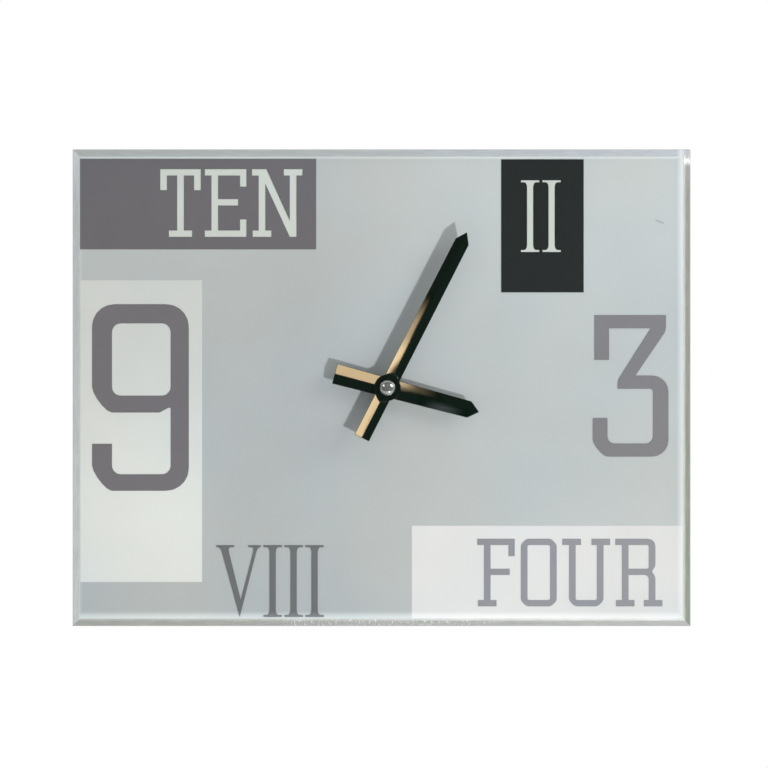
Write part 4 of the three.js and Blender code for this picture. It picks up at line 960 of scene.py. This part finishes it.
def battery():
    """The cell: a shrunk jacket with a band of another colour at one end, and its bare metal ends."""
    low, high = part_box("battery_cell")
    centre = (low + high) / 2
    r, lap = (high.z - low.z) / 2, 0.12 * MM
    nub, nub_height = 2.75 * MM, 1 * MM
    left, right = low.x, high.x - nub_height
    dent = 0.35 * MM
    band_start = right - 12 * MM
    jacket_turn, jacket_mouth = r - 0.25 * MM, r - 0.7 * MM
    profile = [
        (0, left + dent), (4.6 * MM, left + dent), (5 * MM, left + 0.1 * MM), (5.3 * MM, left),
        (jacket_mouth, left), (jacket_turn, left + 0.12 * MM), (r, left + 0.5 * MM), (r, band_start),
        (r - lap, band_start), (r - lap, band_start + 0.2 * MM), (r, band_start + 0.2 * MM),
        (r, right - 0.5 * MM), (jacket_turn, right - 0.12 * MM), (jacket_mouth, right),
        (4.6 * MM, right), (4.4 * MM, right - dent), (3.2 * MM, right - dent), (nub, right - 0.1 * MM),
        (nub, right + 0.75 * MM), (nub - 0.25 * MM, right + nub_height), (0, right + nub_height),
    ]
    piece = lathed("battery_cell_wrapped", centre, profile, 96, along="X")
    finishes = (jacket, band, bare_end)
    stands_for(piece, "battery_cell", *finishes)
    for polygon in piece.data.polygons:
        reach = (Vector(polygon.center) - centre).yz.length
        if reach < 4.7 * MM or polygon.center.x > right + 0.02 * MM:
            polygon.material_index = finishes.index(bare_end)
        elif polygon.center.x > band_start:
            polygon.material_index = finishes.index(band)


# Raised marks on the back

SUNK = 0.2 * MM


def raised(name, node, outlines, low, high, material):
    """Raised marks on a face that looks towards the wall. Each outline is a list of (x, z)."""
    builder = bmesh.new()
    for outline in outlines:
        ends = [[builder.verts.new((x, y, z)) for x, z in outline] for y in (low, high)]
        bridge(builder, *ends)
        for end in ends:
            builder.faces.new(end)
    goes_with(settled(object_of(name, builder), 0.06 * MM), node, material)


def bar(x, z, width, height):
    return [(x - width / 2, z - height / 2), (x + width / 2, z - height / 2),
            (x + width / 2, z + height / 2), (x - width / 2, z + height / 2)]


def cross(x, z, size, thick):
    s, t = size / 2, thick / 2
    return [(x + a, z + b) for a, b in (
        (-t, -s), (t, -s), (t, -t), (s, -t), (s, t), (t, t), (t, s), (-t, s), (-t, t), (-s, t), (-s, -t),
        (-t, -t),
    )]


def arc_arrow(x, z, radius, width, start, end):
    """A curved arrow about (x, z), from one angle in degrees to another."""
    angles = [math.radians(start + (end - start) * share) for share in shares(20)]
    last = angles[-1]
    ahead = last + math.copysign(width * 2.0 / radius, end - start)
    inner, outer, barb = radius - width / 2, radius + width / 2, width * 0.7

    def at(reach, angle):
        return (x + reach * math.cos(angle), z + reach * math.sin(angle))

    return (
        [at(outer, angle) for angle in angles]
        + [at(outer + barb, last), at(radius, ahead), at(inner - barb, last)]
        + [at(inner, angle) for angle in reversed(angles)]
    )


def marks():
    """An arrow and a dot on the setting knob, and on the cover an arrow round the knob, the cell's signs
    and a frame."""
    knob, knob_back = middle("set_knob"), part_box("set_knob")[1].y
    raised("set_knob_arrow", "set_knob", [
        arc_arrow(knob.x, knob.z, 3.1 * MM, 0.55 * MM, 200, -20),
        bar(knob.x, knob.z, 0.7 * MM, 0.7 * MM),
    ], knob_back - 0.1 * MM, knob_back + 0.15 * MM, white_acetal)
    cover_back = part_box("rear_cover")[1].y
    signs, sign, stroke = 22 * MM, 3 * MM, 0.8 * MM
    signs_height = -50.2 * MM
    raised("rear_cover_marks", "rear_cover", [
        arc_arrow(knob.x, knob.z, 7.6 * MM, 0.6 * MM, 250, 110),
        cross(signs, signs_height, sign, stroke), bar(-signs, signs_height, sign, stroke),
    ], cover_back - SUNK, cover_back + 0.15 * MM, black_case)
    x, z, width, height, line = -6 * MM, -33.1 * MM, 26 * MM, 27.3 * MM, 0.5 * MM
    beside, above = (width + line) / 2, (height + line) / 2
    raised("rear_cover_frame", "rear_cover", [
        bar(x, z + above, width, line), bar(x, z - above, width, line),
        bar(x - beside, z, line, height), bar(x + beside, z, line, height),
    ], cover_back - SUNK, cover_back + 0.12 * MM, black_case)


# Making

glass_sheet()

hour = Hand("hour_hand", direction=104.9, lean=0.6, sizes={
    "point": 5.7, "shoulder": 47.8, "tail": 30.8, "tail_width": 11.6, "shoulder_width": 9.6, "ridge": 1.6,
    "seat": 6.7,
})
minute = Hand("minute_hand", direction=27.1, lean=1.2, sizes={
    "point": 5.9, "shoulder": 92.4, "tail": 31.7, "tail_width": 9, "shoulder_width": 8.3, "ridge": 1.5,
    "seat": 7.5,
})
folded_hand("hour_hand_pressed", hour, hole=3.69 * MM)
folded_hand("minute_hand_pressed", minute, hole=2.79 * MM)

cap_nut()
hand_bush("hour_hand_bush", 2.67 * MM, 3.57 * MM)
hand_bush("minute_hand_bush", 1.77 * MM, 2.67 * MM)
threaded_stud()
washer("flat_washer", 4.15 * MM, 6.8 * MM, 0.1 * MM, brass)
washer("rubber_washer", 4.15 * MM, 6.5 * MM, 0.3 * MM, foam)
hex_nut()
for i in range(1, 5):
    spacer(f"spacer_{i}")
    pad(f"pad_{i}")
battery()
marks()

# How wide each node's edges are rounded, in mm
ROUNDING = {
    "movement_case": 0.22, "rear_cover": 0.18, "hanger_bracket": 0.16, "set_knob": 0.12,
    "train_plate": 0.1, "stator_plate": 0.05, "coil_core": 0.05, "coil_bobbin": 0.08,
    "coil_winding": 0.1, "circuit_board": 0.05, "driver_chip": 0.12, "quartz_crystal": 0.18,
    "contact_positive": 0.06, "contact_negative": 0.06, "negative_lead": 0.05, "hour_wheel": 0.04,
    "minute_arbor": 0.04, "center_wheel": 0.03, "minute_wheel": 0.04, "third_wheel": 0.03,
    "fourth_wheel": 0.02, "fifth_wheel": 0.02, "rotor_arbor": 0.03, "rotor_magnet": 0.06,
}
for node, width in ROUNDING.items():
    refined(node, width * MM)

for node, carried in frame["nodes"].items():
    for holder in carried.material_slots:
        holder.material = finish_of(node)


# Floor and room

ROOM_LIGHT = 0.5
ROOM_DIM = 0.04


def floor():
    """A round floor that is pale to the camera and clear from below."""
    reach, level, behind = 0.85, -0.45, 0.38
    builder = bmesh.new()
    rings = [builder.verts.new((0, behind, level))]
    for r in (reach / 2, reach):
        rings.append([builder.verts.new((r * c, behind + r * s, level)) for c, s in circle(96)])
    stitched(builder, rings)
    piece = object_of("floor", builder)
    if piece.data.polygons[0].normal.z < 0:
        piece.data.flip_normals()
    t = Tree("pale_floor")
    tone = t.mix(t.span(t.noise(6, 3), 0.3, 0.7), colour(236, 236, 235), colour(241, 241, 240))
    pale = t.add("ShaderNodeEmission", {"Color": tone})
    seen = t.times(t.add("ShaderNodeLightPath").outputs["Is Camera Ray"], 0.6)
    above = t.blend_of(seen, t.surface(Base_Color=tone, Roughness=0.8), pale.outputs[0])
    under = t.add("ShaderNodeNewGeometry").outputs["Backfacing"]
    shown = t.blend_of(under, above, t.add("ShaderNodeBsdfTransparent").outputs[0])
    t.holder.cycles.emission_sampling = "NONE"
    piece.data.materials.append(t.finish(shown))


def room():
    """White to the camera, and a soft even light. Gloss mirrors a white room behind the clock and a
    dim one on the viewer's side."""
    t = Tree("room", "worlds")
    rays = t.add("ShaderNodeLightPath").outputs
    ahead = t.span(t.axis("Y"), -0.35, 0.25, ROOM_DIM, 1.0)
    mirrored = t.math("MAXIMUM", rays["Is Glossy Ray"], rays["Is Transmission Ray"])
    strength = t.mix(rays["Is Camera Ray"], t.mix(mirrored, ROOM_LIGHT, ahead, "FLOAT"), 1.0, "FLOAT")
    light = t.add("ShaderNodeBackground", {"Color": (1, 1, 1, 1), "Strength": strength})
    bpy.context.scene.world = t.finish(light.outputs[0])


# Lamps and reflectors

WARM = (1.0, 0.745, 0.43)
WINDOW = (0.85, 0.95, 1.0)
CARD_HALF_WIDTH = 35 * MM
CARD_STEPS = 24
GLINT_STEPS = 32


def lamp(name, place, size, energy, shape="DISK"):
    """An area lamp that looks at the hub from a place given from there."""
    light = bpy.data.lights.new(name, "AREA")
    light.shape = shape
    light.size = size
    light.energy = energy
    holder = bpy.data.objects.new(name, light)
    holder.location = hub + Vector(place)
    holder.rotation_euler = (hub - holder.location).to_track_quat("-Z", "Y").to_euler()
    bpy.context.scene.collection.objects.link(holder)
    return holder


def reflector(piece, t, level, tint=(1, 1, 1)):
    """Makes the piece a glow that only gloss and metal show. It lights nothing else."""
    glow = t.add("ShaderNodeEmission", {"Color": (*tint, 1), "Strength": level})
    t.holder.cycles.emission_sampling = "NONE"
    piece.data.materials.append(t.finish(glow.outputs[0]))
    for kind in ("camera", "diffuse", "transmission", "volume_scatter", "shadow"):
        setattr(piece, "visible_" + kind, False)


def changing(t, value, changes):
    """A sum of smooth changes, each with two places and the amounts before and after them."""
    total = 0.0
    for start, end, before, after in changes:
        total = t.plus(t.span(value, start, end, before, after), total)
    return total


def card(name, hand, side, start, end, light, edge, soft, tint, strength):
    """A reflector, placed where one slope of a hand (side -1 or 1) mirrors it towards the viewer. It
    runs from start to end along the hand, in mm. Light, edge and soft are changes along that run: of
    its light, of the place of its edge on the ridge's side, and of that edge's softness."""
    s = hand.sizes
    slope = s["ridge"] / (s["tail_width"] / 2)
    origin = Vector(hand.at(0, 0, 0))
    normal = (Vector(hand.at(side * slope, 0, 1)) - origin).normalized()
    along = (Vector(hand.at(0, 1, 0)) - origin).normalized()
    across = along.cross(normal).normalized()
    if across.dot(Vector(hand.at(side, 0, 0)) - origin) < 0:
        across = -across
    builder = bmesh.new()
    layer = builder.loops.layers.float_color.new("place")
    rows = []
    for v in (start + (end - start) * k for k in shares(CARD_STEPS)):
        point = Vector(hand.at(side * s["tail_width"] / 4, v * MM, SHEET + s["ridge"] / 2))
        sight = (point - camera_at).normalized()
        bounce = sight - 2 * sight.dot(normal) * normal
        rows.append([
            (builder.verts.new(point + bounce + across * u), (v, u))
            for u in (-CARD_HALF_WIDTH, CARD_HALF_WIDTH)
        ])
    for first, second in zip(rows, rows[1:]):
        corners = [first[0], first[1], second[1], second[0]]
        made = builder.faces.new([corner[0] for corner in corners])
        for loop, (_, (v, u)) in zip(made.loops, corners):
            loop[layer] = (v, u / MM, 0, 1)
    piece = object_of(name, builder)
    t = Tree(name)
    place = t.add("ShaderNodeVertexColor", layer_name="place").outputs["Color"]
    v, outward, _ = t.add("ShaderNodeSeparateColor", {0: place}).outputs
    inside = t.math("DIVIDE", t.plus(outward, changing(t, v, edge)), changing(t, v, soft))
    level = t.times(changing(t, v, light), t.span(inside, -1.0, 1.0))
    reflector(piece, t, t.times(level, strength), tint)


def glint(name, direction, distance, reach, strength):
    """A small round reflector for the nut's dome, towards the given side of it."""
    away = Vector(direction).normalized()
    centre = hub + away * distance
    first = away.cross(Vector((0, 1, 0))).normalized()
    second = away.cross(first)
    builder = bmesh.new()
    builder.faces.new([
        builder.verts.new(centre + reach * (c * first + s * second)) for c, s in circle(GLINT_STEPS)
    ])
    piece = object_of(name, builder)
    t = Tree(name)
    off = t.add("ShaderNodeVectorMath", {0: t.place, 1: centre}, operation="DISTANCE")
    reflector(piece, t, t.span(off.outputs["Value"], reach * 0.4, reach, strength, 0.0))


floor()
room()
key = lamp("key", (0.59, -1.1, -0.44), 0.08, 9.8)
key.visible_glossy = False
lamp("fill", (0.75, -0.5, 0.4), 0.45, 2.8, shape="SQUARE")
card(
    "minute_card", minute, -1, -40, 60,
    light=((4, 12, 0.0, 0.17), (19, 33, 0.585, 0.0), (34, 58, 0.415, -0.17)),
    edge=((2, 9, 5.5, -0.9), (9, 19, 0.0, 1.8), (22, 38, 0.0, -4.0)),
    soft=((20, 32, 0.9, 3.4),), tint=WARM, strength=9.1,
)
card(
    "hour_card", hour, -1, -40, 32,
    light=((-6, 0, -0.1, 0.0), (4, 18, 0.95, 0.0), (16, 30, 0.12, 0.0)),
    edge=((0, 6, 7.5, 0.8), (5, 16, 0.0, -2.9)),
    soft=((0, 6, 0.9, 2.4),), tint=WARM, strength=7.2,
)
card(
    "window_card", hour, 1, 18, 50,
    light=((21, 33, 0.0, 1.0), (34, 47, 0.0, -1.0)),
    edge=((18, 50, 2.4, 2.4),), soft=((18, 50, 2.4, 2.4),), tint=WINDOW, strength=0.55,
)
glint("left_glint", (-0.716, -0.556, 0.42), 0.5, 0.11, 3.5)
glint("low_glint", (0.339, -0.556, -0.759), 0.26, 0.045, 8.0)

lens = bpy.data.cameras.new("camera")
lens.sensor_width = 36
lens.lens = 132.4
viewer = bpy.data.objects.new("camera", lens)
viewer.location = camera_at
viewer.rotation_euler = (math.pi / 2, 0, 0)
bpy.context.scene.collection.objects.link(viewer)
bpy.context.scene.camera = viewer
bpy.context.scene.view_settings.view_transform = "Standard"
